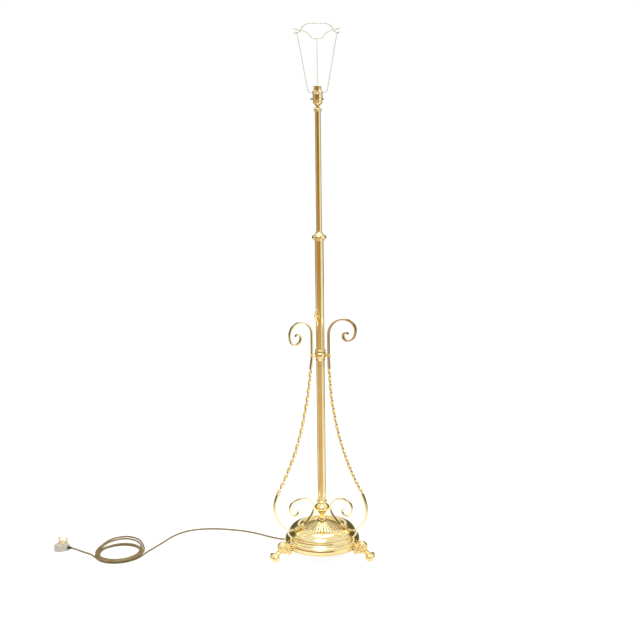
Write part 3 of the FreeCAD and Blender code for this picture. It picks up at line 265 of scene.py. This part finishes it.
class Workshop:
    """The node tree of one finish."""

    def __init__(self, tree):
        self.tree = tree
        tree.nodes.clear()

    def node(self, kind, settings=None, sockets=None):
        made = self.tree.nodes.new(kind)
        for name, value in (settings or {}).items():
            setattr(made, name, value)
        pairs = enumerate(sockets) if isinstance(sockets, list) else (sockets or {}).items()
        for name, value in pairs:
            socket = made.inputs[name]
            if isinstance(value, Wire):
                self.tree.links.new(value.socket, socket)
            else:
                socket.default_value = (*value, 1) if socket.type == "RGBA" else value
        return Made(self, made)

    def maths(self, operation, *values):
        return self.node("ShaderNodeMath", {"operation": operation}, list(values)).out()

    def place(self):
        return self.node("ShaderNodeTexCoord").out("Object")

    def parts_of(self, vector):
        """The X, Y and Z of a vector."""
        split = self.node("ShaderNodeSeparateXYZ", {}, {"Vector": vector})
        return split.out("X"), split.out("Y"), split.out("Z")

    def grain(self, scale, detail=3.0, stretch=(1, 1, 1)):
        """Cloudy noise from 0 to 1, stretched along the axes."""
        spot = self.node("ShaderNodeMapping", {"vector_type": "POINT"},
                         {"Vector": self.place(), "Scale": stretch}).out()
        return self.node("ShaderNodeTexNoise", {},
                         {"Vector": spot, "Scale": scale, "Detail": detail}).out()

    def blend(self, amount, first, second):
        """Colour mix: first where amount is 0, second where it is 1."""
        return self.node("ShaderNodeMix", {"data_type": "RGBA"},
                         {0: amount, 6: first, 7: second}).out(2)

    def bump(self, height, distance, strength):
        return self.node("ShaderNodeBump", {}, {
            "Height": height, "Distance": distance, "Strength": strength}).out()

    def surface(self, **sockets):
        named = {name.replace("_", " "): value for name, value in sockets.items()}
        shader = self.node("ShaderNodeBsdfPrincipled", {}, named).out()
        self.node("ShaderNodeOutputMaterial", {}, {"Surface": shader})


def finish_named(name):
    material = bpy.data.materials.new(name)
    material.use_nodes = True
    return material, Workshop(material.node_tree)


print("workshop is ready")

# %% [markdown]
# Polished brass is a mirror with a colour. What makes it look used is small: a warmer
# tone where lacquer has aged, slightly uneven polish, and faint marks drawn out along
# the way it was buffed. The hollows between curves go brown, partly for old polish that
# stays there and partly as painted shade. On most pieces the sharpness of the mesh tells
# where they are, and a piece whose hollows are known by their place can pass a mask of
# painted shade of its own.

# %% Polished brass
BRIGHT = (0.90, 0.76, 0.40)
WARM = (0.78, 0.54, 0.21)
BROWN = (0.17, 0.105, 0.03)
CLOUD_SCALE = 9.0
STREAK_SCALE = 160.0
MARK_SCALE = 900.0
HOLLOW_SHARPNESS = (0.41, 0.495)   # brown below the first, bright above the second
MARK_DEPTH = 0.0004


def brass(name, polish, hollow_polish_and_shade, stretch, lumps=0.0, painted_shade=None):
    """polish is the least roughness, hollow_polish_and_shade how brown the hollows are with old
    polish and painted shade, stretch the way of the marks, lumps how uneven the casting is, and
    painted_shade a mask of known hollows that get painted shade."""
    material, shop = finish_named(name)
    clouds = shop.grain(CLOUD_SCALE, 4.0)
    streaks = shop.grain(STREAK_SCALE, 3.0, stretch)
    marks = shop.grain(MARK_SCALE, 2.0, stretch)
    sharpness = shop.node("ShaderNodeNewGeometry").out("Pointiness")
    # The brown in the hollows is partly old polish and partly painted shade, where creases lie
    # in shade.
    polish_and_shade = (1 - sharpness.between(*HOLLOW_SHARPNESS)) * hollow_polish_and_shade
    if painted_shade:
        polish_and_shade = (polish_and_shade + painted_shade(shop)).between(0.0, 1.0)
    aged = clouds.between(0.42, 0.72) * 0.45 + streaks.between(0.5, 0.8) * 0.15
    tone = shop.blend(aged, BRIGHT, WARM)
    tone = shop.blend(polish_and_shade, tone, BROWN)
    rough = polish + clouds * 0.07 + streaks * 0.06 + polish_and_shade * 0.22
    height = streaks * 0.5 + marks * 0.3 + clouds * lumps
    shop.surface(Base_Color=tone, Metallic=1.0, Roughness=rough,
                 Normal=shop.bump(height, MARK_DEPTH, 0.10 + lumps * 0.05))
    return material


tube_brass = brass("tube_brass", 0.09, 0.5, (1, 1, 0.03))
turned_brass = brass("turned_brass", 0.08, 0.8, (1, 1, 0.6))
bar_brass = brass("bar_brass", 0.15, 0.7, (1, 1, 1), 0.3)
cast_brass = brass("cast_brass", 0.14, 1.0, (1, 1, 1), 1.0)
print("brass finishes made for tubes, turned pieces, bars and castings")

# %% [markdown]
# The dome's grooves are darkened as painted shade: dark lines between its flutes, in its
# ring groove, along its rim and round its crown. The dome is turned and its flutes are even,
# so a distance from the axis, a height and a cosine of the angle say where the lines lie.

# %% Brass of the dome
FLUTES = 30
FLUTES_END = (0.0575, 0.0590)               # metres from the axis
FLUTE_GROOVE = (0.0565, 0.0585, 0.0605, 0.0640)
CROWN = (0.022, 0.040)
RIM_FROM = (0.110, 0.114)
RIM_GROOVES = ((0.0741, 0.0011), (0.0592, 0.0013), (0.0362, 0.0010))  # height, half width


def dome_painted_shade(shop):
    """Painted shade: brown lines in the dome's grooves and between its flutes, by place."""
    x, y, z = shop.parts_of(shop.place())
    radius = (x * x + y * y) ** 0.5
    wave = shop.maths("COSINE", shop.maths("ARCTAN2", y, x) * FLUTES)
    valley = wave.between(0.70, 1.0) * (1 - radius.between(*FLUTES_END))
    crown = 1 - radius.between(*CROWN)
    groove = radius.band(*FLUTE_GROOVE)
    lines = sum(z.band(at - reach, at, at, at + reach) for at, reach in RIM_GROOVES)
    rim = lines * radius.between(*RIM_FROM)
    # Painted shade: dark in the flutes' valleys, in the ring groove, along the rim's lines and
    # round the crown.
    return valley * (0.85 + crown * 0.15) + crown * 0.25 + groove * 0.75 + rim * 0.8


spun_brass = brass("spun_brass", 0.06, 0.2, (1, 1, 1), painted_shade=dome_painted_shade)
print("brass of the dome made, with", len(RIM_GROOVES), "dark lines on its rim")

# %% [markdown]
# The other finishes are quieter: cream plastic-coated wire, black pressed plastic on the
# switch, pale insulation, a gold-brown flex, plain steel fixings and the dark cast iron
# of the hidden weight. Each is one colour clouded with a darker one, over fine pits.

# %% Other finishes
def plain(name, colour, darker, rough, scale=60.0, metal=0.0, depth=0.0002):
    material, shop = finish_named(name)
    clouds = shop.grain(scale, 4.0)
    pits = shop.grain(scale * 14, 2.0)
    tone = shop.blend(clouds.between(0.35, 0.75) * 0.6 + pits * 0.15, colour, darker)
    shop.surface(Base_Color=tone, Metallic=metal, Roughness=rough + clouds * 0.12,
                 Normal=shop.bump(clouds * 0.4 + pits * 0.6, depth, 0.25))
    return material


cream_wire = plain("cream_wire", (0.83, 0.76, 0.58), (0.66, 0.56, 0.36), 0.34)
black_plastic = plain("black_plastic", (0.020, 0.018, 0.016), (0.05, 0.045, 0.04), 0.22)
insulation = plain("insulation", (0.78, 0.74, 0.66), (0.60, 0.54, 0.44), 0.42)
gold_flex = plain("gold_flex", (0.36, 0.26, 0.10), (0.20, 0.14, 0.05), 0.30, 90.0)
dark_rubber = plain("dark_rubber", (0.07, 0.05, 0.03), (0.03, 0.025, 0.02), 0.55)
plug_plastic = plain("plug_plastic", (0.74, 0.70, 0.60), (0.62, 0.57, 0.47), 0.40)
plain_steel = plain("plain_steel", (0.50, 0.49, 0.47), (0.30, 0.28, 0.26), 0.30, 120.0, 1.0)
cast_iron = plain("cast_iron", (0.06, 0.055, 0.05), (0.025, 0.022, 0.02), 0.62, 150.0, 0.3,
                  0.0008)
print("other finishes made")

# %% [markdown]
# Every solid that keeps its own surface now gets its finish by name. The mesh isn't
# touched: only the object's material slots change.

# %% Dress the solids
DRESS = {
    tube_brass: ["outer_tube", "inner_tube"],
    turned_brass: ["neck", "knop", "mid_collar", "arm_nuts", "top_collar", "guide_bush",
                   "inner_bush", "top_knob", "threaded_tube", "holder_cap", "holder_barrel",
                   "shade_ring", "plunger_a", "plunger_b", "dome_bolts", "plug_pins"],
    bar_brass: ["side_arm_left", "side_arm_right", "side_arm_back", "c_scroll_left",
                "c_scroll_right", "c_scroll_back"],
    cast_brass: ["catch_plate", "catch_lever", "catch_pin"],
    plain_steel: ["foot_screws", "stem_nipple", "lock_nut", "lock_washer", "dome_nuts",
                  "clip_screws", "cord_clip", "catch_spring", "plunger_springs"],
    cast_iron: ["base_weight"], cream_wire: ["shade_carrier"], black_plastic: ["switch_bar"],
    insulation: ["contact_block"], dark_rubber: ["cord_relief", "plug_sleeve"],
    gold_flex: ["inner_flex"], plug_plastic: ["plug_body"]}


def dress(piece, material):
    if not piece.material_slots:
        piece.data.materials.append(material)
    for holder in piece.material_slots:
        holder.link = "OBJECT"
        holder.material = material


for material, names in DRESS.items():
    for name in names:
        dress(nodes[name], material)
flex.data.materials.append(gold_flex)
print("dressed", sum(len(names) for names in DRESS.values()), "solids and the flex")

# %% [markdown]
# The dome is spun from sheet: a moulded rim, a cove, a small step, a fat cushion, a ring
# groove and a sunburst of rounded flutes up to the crown. Mirror-bright metal shows
# every facet, so it gets its own fine skin: a profile turned round the axis. The outer
# half of the profile is arcs, in millimetres as (radius, height).

# %% Outline of the dome
CUSHION_TOP = (82, 97.6)
CUSHION_OUTER = (23.1, 35.0)       # fall and reach outside the cushion's top
CUSHION_INNER = (9.0, 23.0)
CUSHION_FROM = 59.2
CUSHION_STEPS = [117 - 0.9 * i for i in range(65)]


def arc(a, through, b, count):
    """Points on the circle through three points, from a to b, without a itself."""
    ax, ay = a
    bx, by = through
    cx, cy = b
    d = 2 * (ax * (by - cy) + bx * (cy - ay) + cx * (ay - by))
    a2, b2, c2 = ax * ax + ay * ay, bx * bx + by * by, cx * cx + cy * cy
    ux = (a2 * (by - cy) + b2 * (cy - ay) + c2 * (ay - by)) / d
    uy = (a2 * (cx - bx) + b2 * (ax - cx) + c2 * (bx - ax)) / d
    start = math.atan2(ay - uy, ax - ux)
    middle = (math.atan2(by - uy, bx - ux) - start + math.pi) % (2 * math.pi) - math.pi
    end = (math.atan2(cy - uy, cx - ux) - start) % (2 * math.pi)
    if middle < 0:
        end -= 2 * math.pi
    radius = math.hypot(ax - ux, ay - uy)
    return [(ux + radius * math.cos(start + end * i / count),
             uy + radius * math.sin(start + end * i / count)) for i in range(1, count + 1)]


def cushion(r):
    """Height of the fat moulding, two arcs that meet at its top."""
    top_r, top = CUSHION_TOP
    fall, reach = CUSHION_OUTER if r >= top_r else CUSHION_INNER
    radius = (reach * reach + fall * fall) / (2 * fall)
    return top - radius + math.sqrt(radius * radius - (r - top_r) ** 2)


def dome_outline():
    """From the bottom edge over the rim, the cove, the step and the cushion."""
    rim = [(130.0, 32.0)]
    rim += arc((130.0, 32.0), (130.7, 33.6), (130.4, 35.6), 4)
    rim += arc((130.4, 35.6), (132.0, 44.0), (128.8, 53.5), 16)
    rim += arc((128.8, 53.5), (126.6, 56.6), (124.0, 58.0), 6) + [(123.6, 60.2)]
    rim += arc((123.6, 60.2), (119.2, 65.0), (118.0, 72.7), 14) + [(117.2, 74.2)]
    return rim + [(r, cushion(r)) for r in CUSHION_STEPS if r > CUSHION_FROM]


print("points in the dome's outline:", len(dome_outline()))

# %% [markdown]
# The flutes are a ripple on the inner cone, a half ellipse across each one. They grow with
# the distance from the axis and are rounded off at their outer ends, where they run out
# into the ring groove.

# %% Flutes of the dome
CONE_FOOT = (57.1, 85.8)
CONE_RUN, CONE_RISE = 37.9, 26.7
GROOVE_FOOT = (55, 86.5)
GROOVE_SLOPE = 0.52
GROOVE_FROM = 54
GROOVE_END = 59
FLUTE_SHARE = 3.3 / 60.0           # a flute's height beside its distance from the axis
TIP_R = 57.4
TIP_ROUNDING = 3.2                 # a flute's sides end this much sooner than its middle
TIP_SPILL = 2.6
TIP_FALL = 3.4


def flute_ripple(r, angle):
    """Height of a flute above its valley."""
    across = (angle / (2 * math.pi) * FLUTES) % 1.0
    lobe = math.sqrt(max(0.0, 1 - (2 * across - 1) ** 2))
    tip = TIP_R - TIP_ROUNDING * (2 * across - 1) ** 2
    return FLUTE_SHARE * r * lobe * ease((tip + TIP_SPILL - r) / TIP_FALL)


def dome_height(r, angle):
    valley = CONE_FOOT[1] + CONE_RISE * (CONE_FOOT[0] - r) / CONE_RUN
    flute = valley + flute_ripple(r, angle)
    if r < GROOVE_FROM:
        return flute
    groove = GROOVE_FOOT[1] + (r - GROOVE_FOOT[0]) * GROOVE_SLOPE
    return max(flute, groove if r < GROOVE_END else cushion(r))


flute_height = flute_ripple(GROOVE_FROM, math.pi / FLUTES)
print("flutes stand %.1f mm high where the groove begins" % flute_height)

# %% [markdown]
# The skin is one closed shell: the outline, the fluted cone in finer steps near the
# flutes' ends, the flat crown with its hole for the nipple, and the inside back to the
# bottom edge. Each ring has sixteen points to a flute.

# %% Spun dome
ROUND = 16 * FLUTES
CONE_STEPS = [59 - 0.4 * i for i in range(28)] + [47.5 - 1.2 * i for i in range(24)]
CONE_END = 19.6
CROWN_RINGS = [(19.4, 112.5), (8.05, 112.5), (8.05, 106.0)]
INSIDE = [(24, 105.6), (56, 83.7), (59, 86.1), (70, 93.6), (82, 95.9), (100, 91.4),
          (116.4, 70.6), (122.4, 56.4), (127.2, 53.0), (130.2, 44.0), (128.4, 35.6),
          (128.4, 32.0)]


def size_at(size, place):
    """A size is a number, or a function of the place."""
    return size(place) if callable(size) else size


def ring_of(radius, height):
    """One ring of points; height is a number or a function of the angle."""
    turns = [i * (2 * math.pi / ROUND) for i in range(ROUND)]
    return [Vector((radius * math.cos(a), radius * math.sin(a), size_at(height, a))) * MM
            for a in turns]


def bridge(shape, rings, closed=False):
    """Faces between rings of points; closed joins the last ring to the first."""
    rows = [[shape.verts.new(p) for p in ring] for ring in rings]
    pairs = list(zip(rows, rows[1:])) + ([(rows[-1], rows[0])] if closed else [])
    for low, high in pairs:
        for i in range(len(low)):
            j = (i + 1) % len(low)
            shape.faces.new((low[i], low[j], high[j], high[i]))
    return rows


def mesh_from(shape, name):
    mesh = bpy.data.meshes.new(name)
    shape.to_mesh(mesh)
    shape.free()
    return mesh


def smooth(mesh):
    for face in mesh.polygons:
        face.use_smooth = True


def make_dome():
    rings = [ring_of(r, z) for r, z in dome_outline()]
    rings += [ring_of(r, lambda a, r=r: dome_height(r, a)) for r in CONE_STEPS if r > CONE_END]
    rings += [ring_of(r, z) for r, z in CROWN_RINGS + INSIDE]
    shape = bmesh.new()
    bridge(shape, rings, closed=True)
    bmesh.ops.recalc_face_normals(shape, faces=shape.faces)
    mesh = mesh_from(shape, "spun_dome")
    smooth(mesh)
    return put_in_scene("spun_dome", mesh)


dome = make_dome()
dome.data.materials.append(spun_brass)
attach(dome, "stand")
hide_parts("base_dome")
print("dome faces:", len(dome.data.polygons))

# %% [markdown]
# Each foot is one casting, filed and polished. A lobed leaf hugs the rim with a small
# ball at its top, a scrolled knee stands out from it with a button on each side, and a
# short waist runs down to an oval toe whose lip curls over. It could be sculpted, but it
# is made as a founder makes a wax: plain rolls and bars are stuck together, and a voxel
# remesh melts them into one skin with soft seams. Sizes are in millimetres, and the foot
# points along X.

# %% Wax rolls and bars
ROLL_SIDES = 48
BAR_SIDES = 14


def circle(count):
    return [2 * math.pi * i / count for i in range(count)]


def close_shell(shape, rings):
    rows = bridge(shape, rings)
    shape.faces.new(rows[0])
    shape.faces.new(list(reversed(rows[-1])))


def add_roll(shape, outline, x, z):
    """A roll that lies across the foot; the outline is half of it, from its end inwards."""
    whole = outline + [(-y, r) for y, r in reversed(outline[:-1])]
    turns = circle(ROLL_SIDES)
    close_shell(shape, [[Vector((x + r * math.cos(a), y, z + r * math.sin(a))) for a in turns]
                        for y, r in whole])


def sideways(point):
    return Vector((0, 1, 0))


def add_bar(shape, points, wide, deep, out=sideways, sides=BAR_SIDES):
    """A bar along the points. Its depth lies along out(point), and its width across that.
    Both are numbers, or functions of the share of the points that is passed."""
    rings = []
    last = len(points) - 1
    for i, point in enumerate(points):
        ahead = (points[min(i + 1, last)] - points[max(i - 1, 0)]).normalized()
        up = out(point)
        up = (up - ahead * up.dot(ahead)).normalized()
        side = ahead.cross(up)
        w, d = size_at(wide, i / last), size_at(deep, i / last)
        rings.append([point + side * (w * math.cos(a)) + up * (d * math.sin(a))
                      for a in circle(sides)])
    close_shell(shape, rings)


def rounded_end(size, start=1.0):
    """Full width, or the share that start says where it begins, closing in a round."""
    def width(share):
        swell = start + (1 - start) * math.sin(math.pi * min(1, share * 1.1) / 2)
        return size * swell * math.sqrt(max(0.03, 1 - share ** 5))
    return width


print("a roll has", ROLL_SIDES, "sides and a bar", BAR_SIDES)

# %% [markdown]
# The leaf is four pairs of petals and one on top, fanned out from a spine. Each is a flat
# bar with a thin vein on it. Their points are given across the foot and in height, and a
# line of radii keeps them on the dome's rim.

# %% Leaf on the rim
RIM_LINE = [(10, 135.0), (44, 135.0), (53.5, 131.8), (58, 127.6), (62, 124.6), (66, 122.4),
            (72, 120.8)]
PETALS = [((0, 44), (0, 67), 7.0), ((3, 46), (14.5, 60), 6.0), ((4, 42), (23, 42), 6.5),
          ((4, 38), (19, 22), 6.0), ((2, 34), (7.5, 11.5), 5.0)]
PETAL_DEEP = 2.4
PETAL_STEPS = 12
VEIN = (0.9, 1.1)
VEIN_SIDES = 8
VEIN_LIFT = 2.0
SPINE = (13.0, 2.6)
SPINE_HEIGHTS = range(60, 21, -3)
BALL = [(-5.0, 0.5), (-4.6, 2.0), (-3.5, 3.6), (-1.8, 4.7), (0, 5.0)]
BALL_PLACE = (122.6, 66.8)


def along_line(line, place):
    """Value on a broken line of (place, value) points."""
    for (p, a), (q, b) in zip(line, line[1:]):
        if place <= q:
            return a + (b - a) * max(0.0, (place - p) / (q - p))
    return line[-1][1]


def on_rim(across, height, lift=0.0):
    """Point in the middle of the leaf's thickness, which follows the dome's rim."""
    radius = along_line(RIM_LINE, height) + lift
    return Vector((math.sqrt(radius * radius - across * across), across, height))


def from_column(point):
    return Vector((point.x, point.y, 0)).normalized()


def add_petal(shape, start, tip, wide):
    run = [(start[0] + (tip[0] - start[0]) * i / PETAL_STEPS,
            start[1] + (tip[1] - start[1]) * i / PETAL_STEPS) for i in range(PETAL_STEPS + 1)]
    add_bar(shape, [on_rim(y, z) for y, z in run], rounded_end(wide, 0.8),
            rounded_end(PETAL_DEEP), from_column)
    add_bar(shape, [on_rim(y, z, VEIN_LIFT) for y, z in run[2:-1]], *VEIN, from_column,
            VEIN_SIDES)


def add_leaf(shape):
    add_bar(shape, [on_rim(0, z) for z in SPINE_HEIGHTS], *SPINE, from_column)
    for start, tip, wide in PETALS:
        for side in ((-1, 1) if tip[0] else (1,)):
            add_petal(shape, (side * start[0], start[1]), (side * tip[0], tip[1]), wide)
    add_roll(shape, BALL, *BALL_PLACE)


print("petals on a leaf:", sum(2 if tip[0] else 1 for start, tip, wide in PETALS))

# %% [markdown]
# The knee and the toe are rolls across the foot, joined by a waisted bar. A spiral rib on
# each side face makes the knee a scroll, a crest runs over it, and three ribs on the toe
# are the folds of its lip.

# %% Knee and toe
KNEE = (154.0, 41.5)
KNEE_ROLL = [(-14.8, 0.3), (-14.6, 2.6), (-13.4, 4.8), (-11.2, 5.8), (-10.4, 8.6),
             (-11.6, 11.5), (-12.6, 14.5), (-12.0, 17.2), (-9.4, 19.4), (-5.0, 20.5),
             (0, 20.8)]
TOE = (187.5, 15.2)
TOE_ROLL = [(-21.9, 0.4), (-21.6, 3.4), (-20.4, 7.0), (-18.4, 9.8), (-15.6, 11.8),
            (-12.4, 13.2), (-6.0, 14.7), (0, 15.1)]
TOE_RIBS = ((1.25, 1.5), (0.70, 2.0), (0.20, 1.3))      # angle and thickness
RIB_REACH = 15.0
RIB_ROUND = 25.0                   # half length of the ellipse that the ribs follow
RIB_SUNK = 0.7
RIB_STEPS = 8                      # on each half
CURL_FROM = 165                    # degrees, where the curl leaves the leaf
CURL_TURNS = 1.35
CURL_STEPS = 60
CURL_R = 19.0
CURL_WINDS_IN = 11.5
CURL_FACE = 12.6                   # from the middle of the knee
CURL_RISE = 0.8
CREST_R = 20.6
CREST_ANGLES = range(150, -30, -15)
WAIST_STEPS = 10


def knee_curl(side):
    """Spiral rib on one face of the knee, from the leaf over the top and in to the button."""
    points = []
    for i in range(CURL_STEPS + 1):
        s = i / CURL_STEPS
        angle = math.radians(CURL_FROM - 360 * CURL_TURNS * s)
        radius = CURL_R - CURL_WINDS_IN * s
        points.append(Vector((KNEE[0] + radius * math.cos(angle),
                              side * (CURL_FACE + CURL_RISE * s),
                              KNEE[1] + radius * math.sin(angle))))
    return points


def toe_rib(angle):
    """Line across the toe, sunk a little into it and rounded down at its ends."""
    points = []
    for i in range(2 * RIB_STEPS + 1):
        y = RIB_REACH * (i / RIB_STEPS - 1)
        radius = TOE_ROLL[-1][1] * math.sqrt(1 - (y / RIB_ROUND) ** 2) - RIB_SUNK
        points.append(Vector((TOE[0] + radius * math.cos(angle), y,
                              TOE[1] + radius * math.sin(angle))))
    return points


def knee_crest():
    """Line over the top of the knee, from the leaf to the toe."""
    return [Vector((KNEE[0] + CREST_R * math.cos(a), 0, KNEE[1] + CREST_R * math.sin(a)))
            for a in map(math.radians, CREST_ANGLES)]


def waist_high(share):
    return 11.5 - 11.0 * share * (1 - share)


def waist_broad(share):
    return 13.0 - 3.5 * math.sin(math.pi * share)


def add_knee_and_toe(shape):
    add_roll(shape, KNEE_ROLL, *KNEE)
    add_roll(shape, TOE_ROLL, *TOE)
    for side in (-1, 1):
        add_bar(shape, knee_curl(side), lambda s: 1.9 - 0.6 * s, lambda s: 1.9 - 0.6 * s)
    for angle, thick in TOE_RIBS:
        add_bar(shape, toe_rib(angle), rounded_end(thick), rounded_end(thick),
                lambda point: Vector((0, 0, 1)))
    knee, toe = Vector((KNEE[0], 0, KNEE[1])), Vector((TOE[0], 0, TOE[1]))
    waist = [knee.lerp(toe, i / WAIST_STEPS) for i in range(WAIST_STEPS + 1)]
    add_bar(shape, waist, waist_high, waist_broad)
    add_bar(shape, knee_crest(), 1.6, lambda s: 4.2 - 1.6 * s)


print("the toe reaches %.1f mm from the column" % (TOE[0] + TOE_ROLL[-1][1]))

# %% [markdown]
# The remesh walks through the wax in steps of 0.8 mm and leaves one closed skin, which a
# few rounds of smoothing soften. Its sole is pressed flat on the floor. The three feet are
# copies of it, each turned about the column in its own mesh, so that their boxes are true.

# %% Cast feet
VOXEL = 0.0008
SOFTENING = 5
LUG = (2.5, 12.0)                  # the bar that goes in under the dome
LUG_LINE = [(96 + 4.2 * i, 0, 29.5) for i in range(11)]
FEET = (("left", 210), ("right", 330), ("back", 90))


def model_foot():
    shape = bmesh.new()
    add_knee_and_toe(shape)
    add_leaf(shape)
    add_bar(shape, [Vector(p) for p in LUG_LINE], *LUG)
    bmesh.ops.recalc_face_normals(shape, faces=shape.faces)
    for vertex in shape.verts:
        vertex.co *= MM
    return mesh_from(shape, "foot_wax")


def melt(mesh):
    """One closed skin round all the wax, with softened seams."""
    wax = put_in_scene("wax", mesh)
    remesh = wax.modifiers.new("melt", "REMESH")
    remesh.mode = "VOXEL"
    remesh.voxel_size = VOXEL
    soft = wax.modifiers.new("soft", "SMOOTH")
    soft.factor = 0.5
    soft.iterations = SOFTENING
    skin = shown_mesh(wax)
    bpy.data.objects.remove(wax)
    return skin


def cast_feet():
    skin = melt(model_foot())
    skin.materials.clear()
    skin.materials.append(cast_brass)
    for vertex in skin.vertices:
        vertex.co.z = max(vertex.co.z, 0.0)
    smooth(skin)
    for name, angle in FEET:
        mesh = skin.copy()
        mesh.transform(Matrix.Rotation(math.radians(angle), 4, "Z"))
        piece = put_in_scene("cast_foot_" + name, mesh)
        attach(piece, "stand")
        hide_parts("foot_" + name)
    return skin


foot_skin = cast_feet()
print("faces in a foot:", len(foot_skin.polygons))

# %% [markdown]
# The studio is a pale floor and a white background. Polished metal only shows what
# stands round it, and in plain white it has no shape. Dark boards could stand outside the
# view, but they would take light from the lamp. Here the far floor and the world change
# colour for mirror rays alone: white behind the lamp and to the right, dim and warm behind
# the camera, and a dark card on each side.

# %% What the metal sees
WHITE = (1.0, 1.0, 1.0)
WARM_WALL = (0.50, 0.28, 0.10)
NARROW_CARD = (0.13, 0.09, 0.04)
SIDE_CARD = (0.13, 0.12, 0.06)
LOW_CARD = (0.16, 0.11, 0.04)


def room_glow(shop, x, y, z=None):
    """Colour of the room in the direction of x and y. Angles are in radians from the
    camera's side, and the low card needs z, which only the world has."""
    turn = shop.maths("ARCTAN2", x, y * -1.0)
    aside = shop.maths("ABSOLUTE", turn)
    glow = shop.blend(turn.band(-1.75, -1.35, 0.34, 0.40), WHITE, WARM_WALL)
    glow = shop.blend(turn.band(0.34, 0.40, 0.50, 0.62), glow, NARROW_CARD)
    if z is not None:
        ahead = 1 - aside.between(0.50, 0.75)
        glow = shop.blend(ahead * z.band(-0.02, 0.03, 0.13, 0.20) * 0.75, glow, LOW_CARD)
    return shop.blend(aside.band(1.75, 2.0, 3.00, 3.10), glow, SIDE_CARD)


print("room colours:", WARM_WALL, NARROW_CARD, SIDE_CARD, LOW_CARD)

# %% [markdown]
# A lit white floor would lose the lamp's shadow. So the camera and the metal see a glow a
# little under white, with a dim matt floor added to it that takes the shadow. Every other
# ray finds a pale matt floor, so the glow doesn't light the lamp.

# %% Floor
FLOOR_R = 9.0
FLOOR_GLOW = 0.93
ROOM_FROM = (0.30, 0.75)           # metres from the column, where the room fades in


def make_floor():
    shape = bmesh.new()
    bmesh.ops.create_circle(shape, cap_ends=True, segments=96, radius=FLOOR_R)
    floor = put_in_scene("floor", mesh_from(shape, "floor"))
    material, shop = finish_named("pale_floor")
    ray = shop.node("ShaderNodeLightPath")
    in_mirror = ray.out("Is Glossy Ray") + ray.out("Is Transmission Ray")
    x, y, _ = shop.parts_of(shop.place())
    far = ((x * x + y * y) ** 0.5).between(*ROOM_FROM)
    seen = shop.blend(far * in_mirror, WHITE, room_glow(shop, x, y))
    lit = shop.node("ShaderNodeEmission", {}, {"Color": seen, "Strength": FLOOR_GLOW}).out()
    clouds = shop.grain(5.0).between(0.3, 0.8)
    speckle = shop.blend(clouds * 0.1, (0.80, 0.80, 0.80), (0.76, 0.75, 0.74))
    matt = shop.node("ShaderNodeBsdfDiffuse", {}, {"Color": speckle}).out()
    shadow = shop.node("ShaderNodeBsdfDiffuse", {}, {"Color": (0.30, 0.30, 0.30)}).out()
    shown = shop.node("ShaderNodeAddShader", {}, [lit, shadow]).out()
    eye = ray.out("Is Camera Ray") + in_mirror
    both = shop.node("ShaderNodeMixShader", {}, [eye, matt, shown]).out()
    shop.node("ShaderNodeOutputMaterial", {}, {"Surface": both})
    floor.data.materials.append(material)


make_floor()
print("floor laid, %.0f m across" % (2 * FLOOR_R))

# %% [markdown]
# The world is white to the camera and a soft grey light to matt surfaces. Mirror rays see
# the room in its lower part, which reaches a little higher behind the lamp. Two large
# round lamps give the shadow its soft edge.

# %% World and lamps
SOFT_LIGHT = 0.45
FRONT_TOP = (0.22, 0.50)           # height where the room ends in front
BACK_TOP = (0.46, 0.60)            # and behind the lamp


def make_world():
    world = bpy.data.worlds.new("studio")
    bpy.context.scene.world = world
    world.use_nodes = True
    shop = Workshop(world.node_tree)
    x, y, z = shop.parts_of(shop.node("ShaderNodeTexCoord").out("Generated"))
    behind = y.between(-0.2, 0.3)
    low = 1 - z.between(*FRONT_TOP) * (1 - behind) - z.between(*BACK_TOP) * behind
    glow = shop.blend(low, WHITE, room_glow(shop, x, y, z))
    ray = shop.node("ShaderNodeLightPath")
    shown = shop.blend(ray.out("Is Camera Ray"), glow, WHITE)
    back = shop.node("ShaderNodeBackground", {}, {"Color": shown, "Strength": 1.0}).out()
    soft = shop.node("ShaderNodeBackground", {}, {"Color": WHITE, "Strength": SOFT_LIGHT}).out()
    both = shop.node("ShaderNodeMixShader", {}, [ray.out("Is Diffuse Ray"), back, soft]).out()
    shop.node("ShaderNodeOutputWorld", {}, {"Surface": both})


def soft_lamp(name, place, aim, size, power):
    light = bpy.data.lights.new(name, "AREA")
    light.shape = "DISK"
    light.size = size
    light.energy = power
    lamp = put_in_scene(name, light)
    lamp.location = place
    lamp.rotation_euler = (Vector(aim) - Vector(place)).to_track_quat("-Z", "Y").to_euler()


make_world()
soft_lamp("key", (-0.4, -2.7, 3.2), (0, 0, 0.7), 2.2, 45)
soft_lamp("top", (0.1, 0.5, 3.4), (0, 0, 0.4), 1.8, 40)
print("studio is lit")
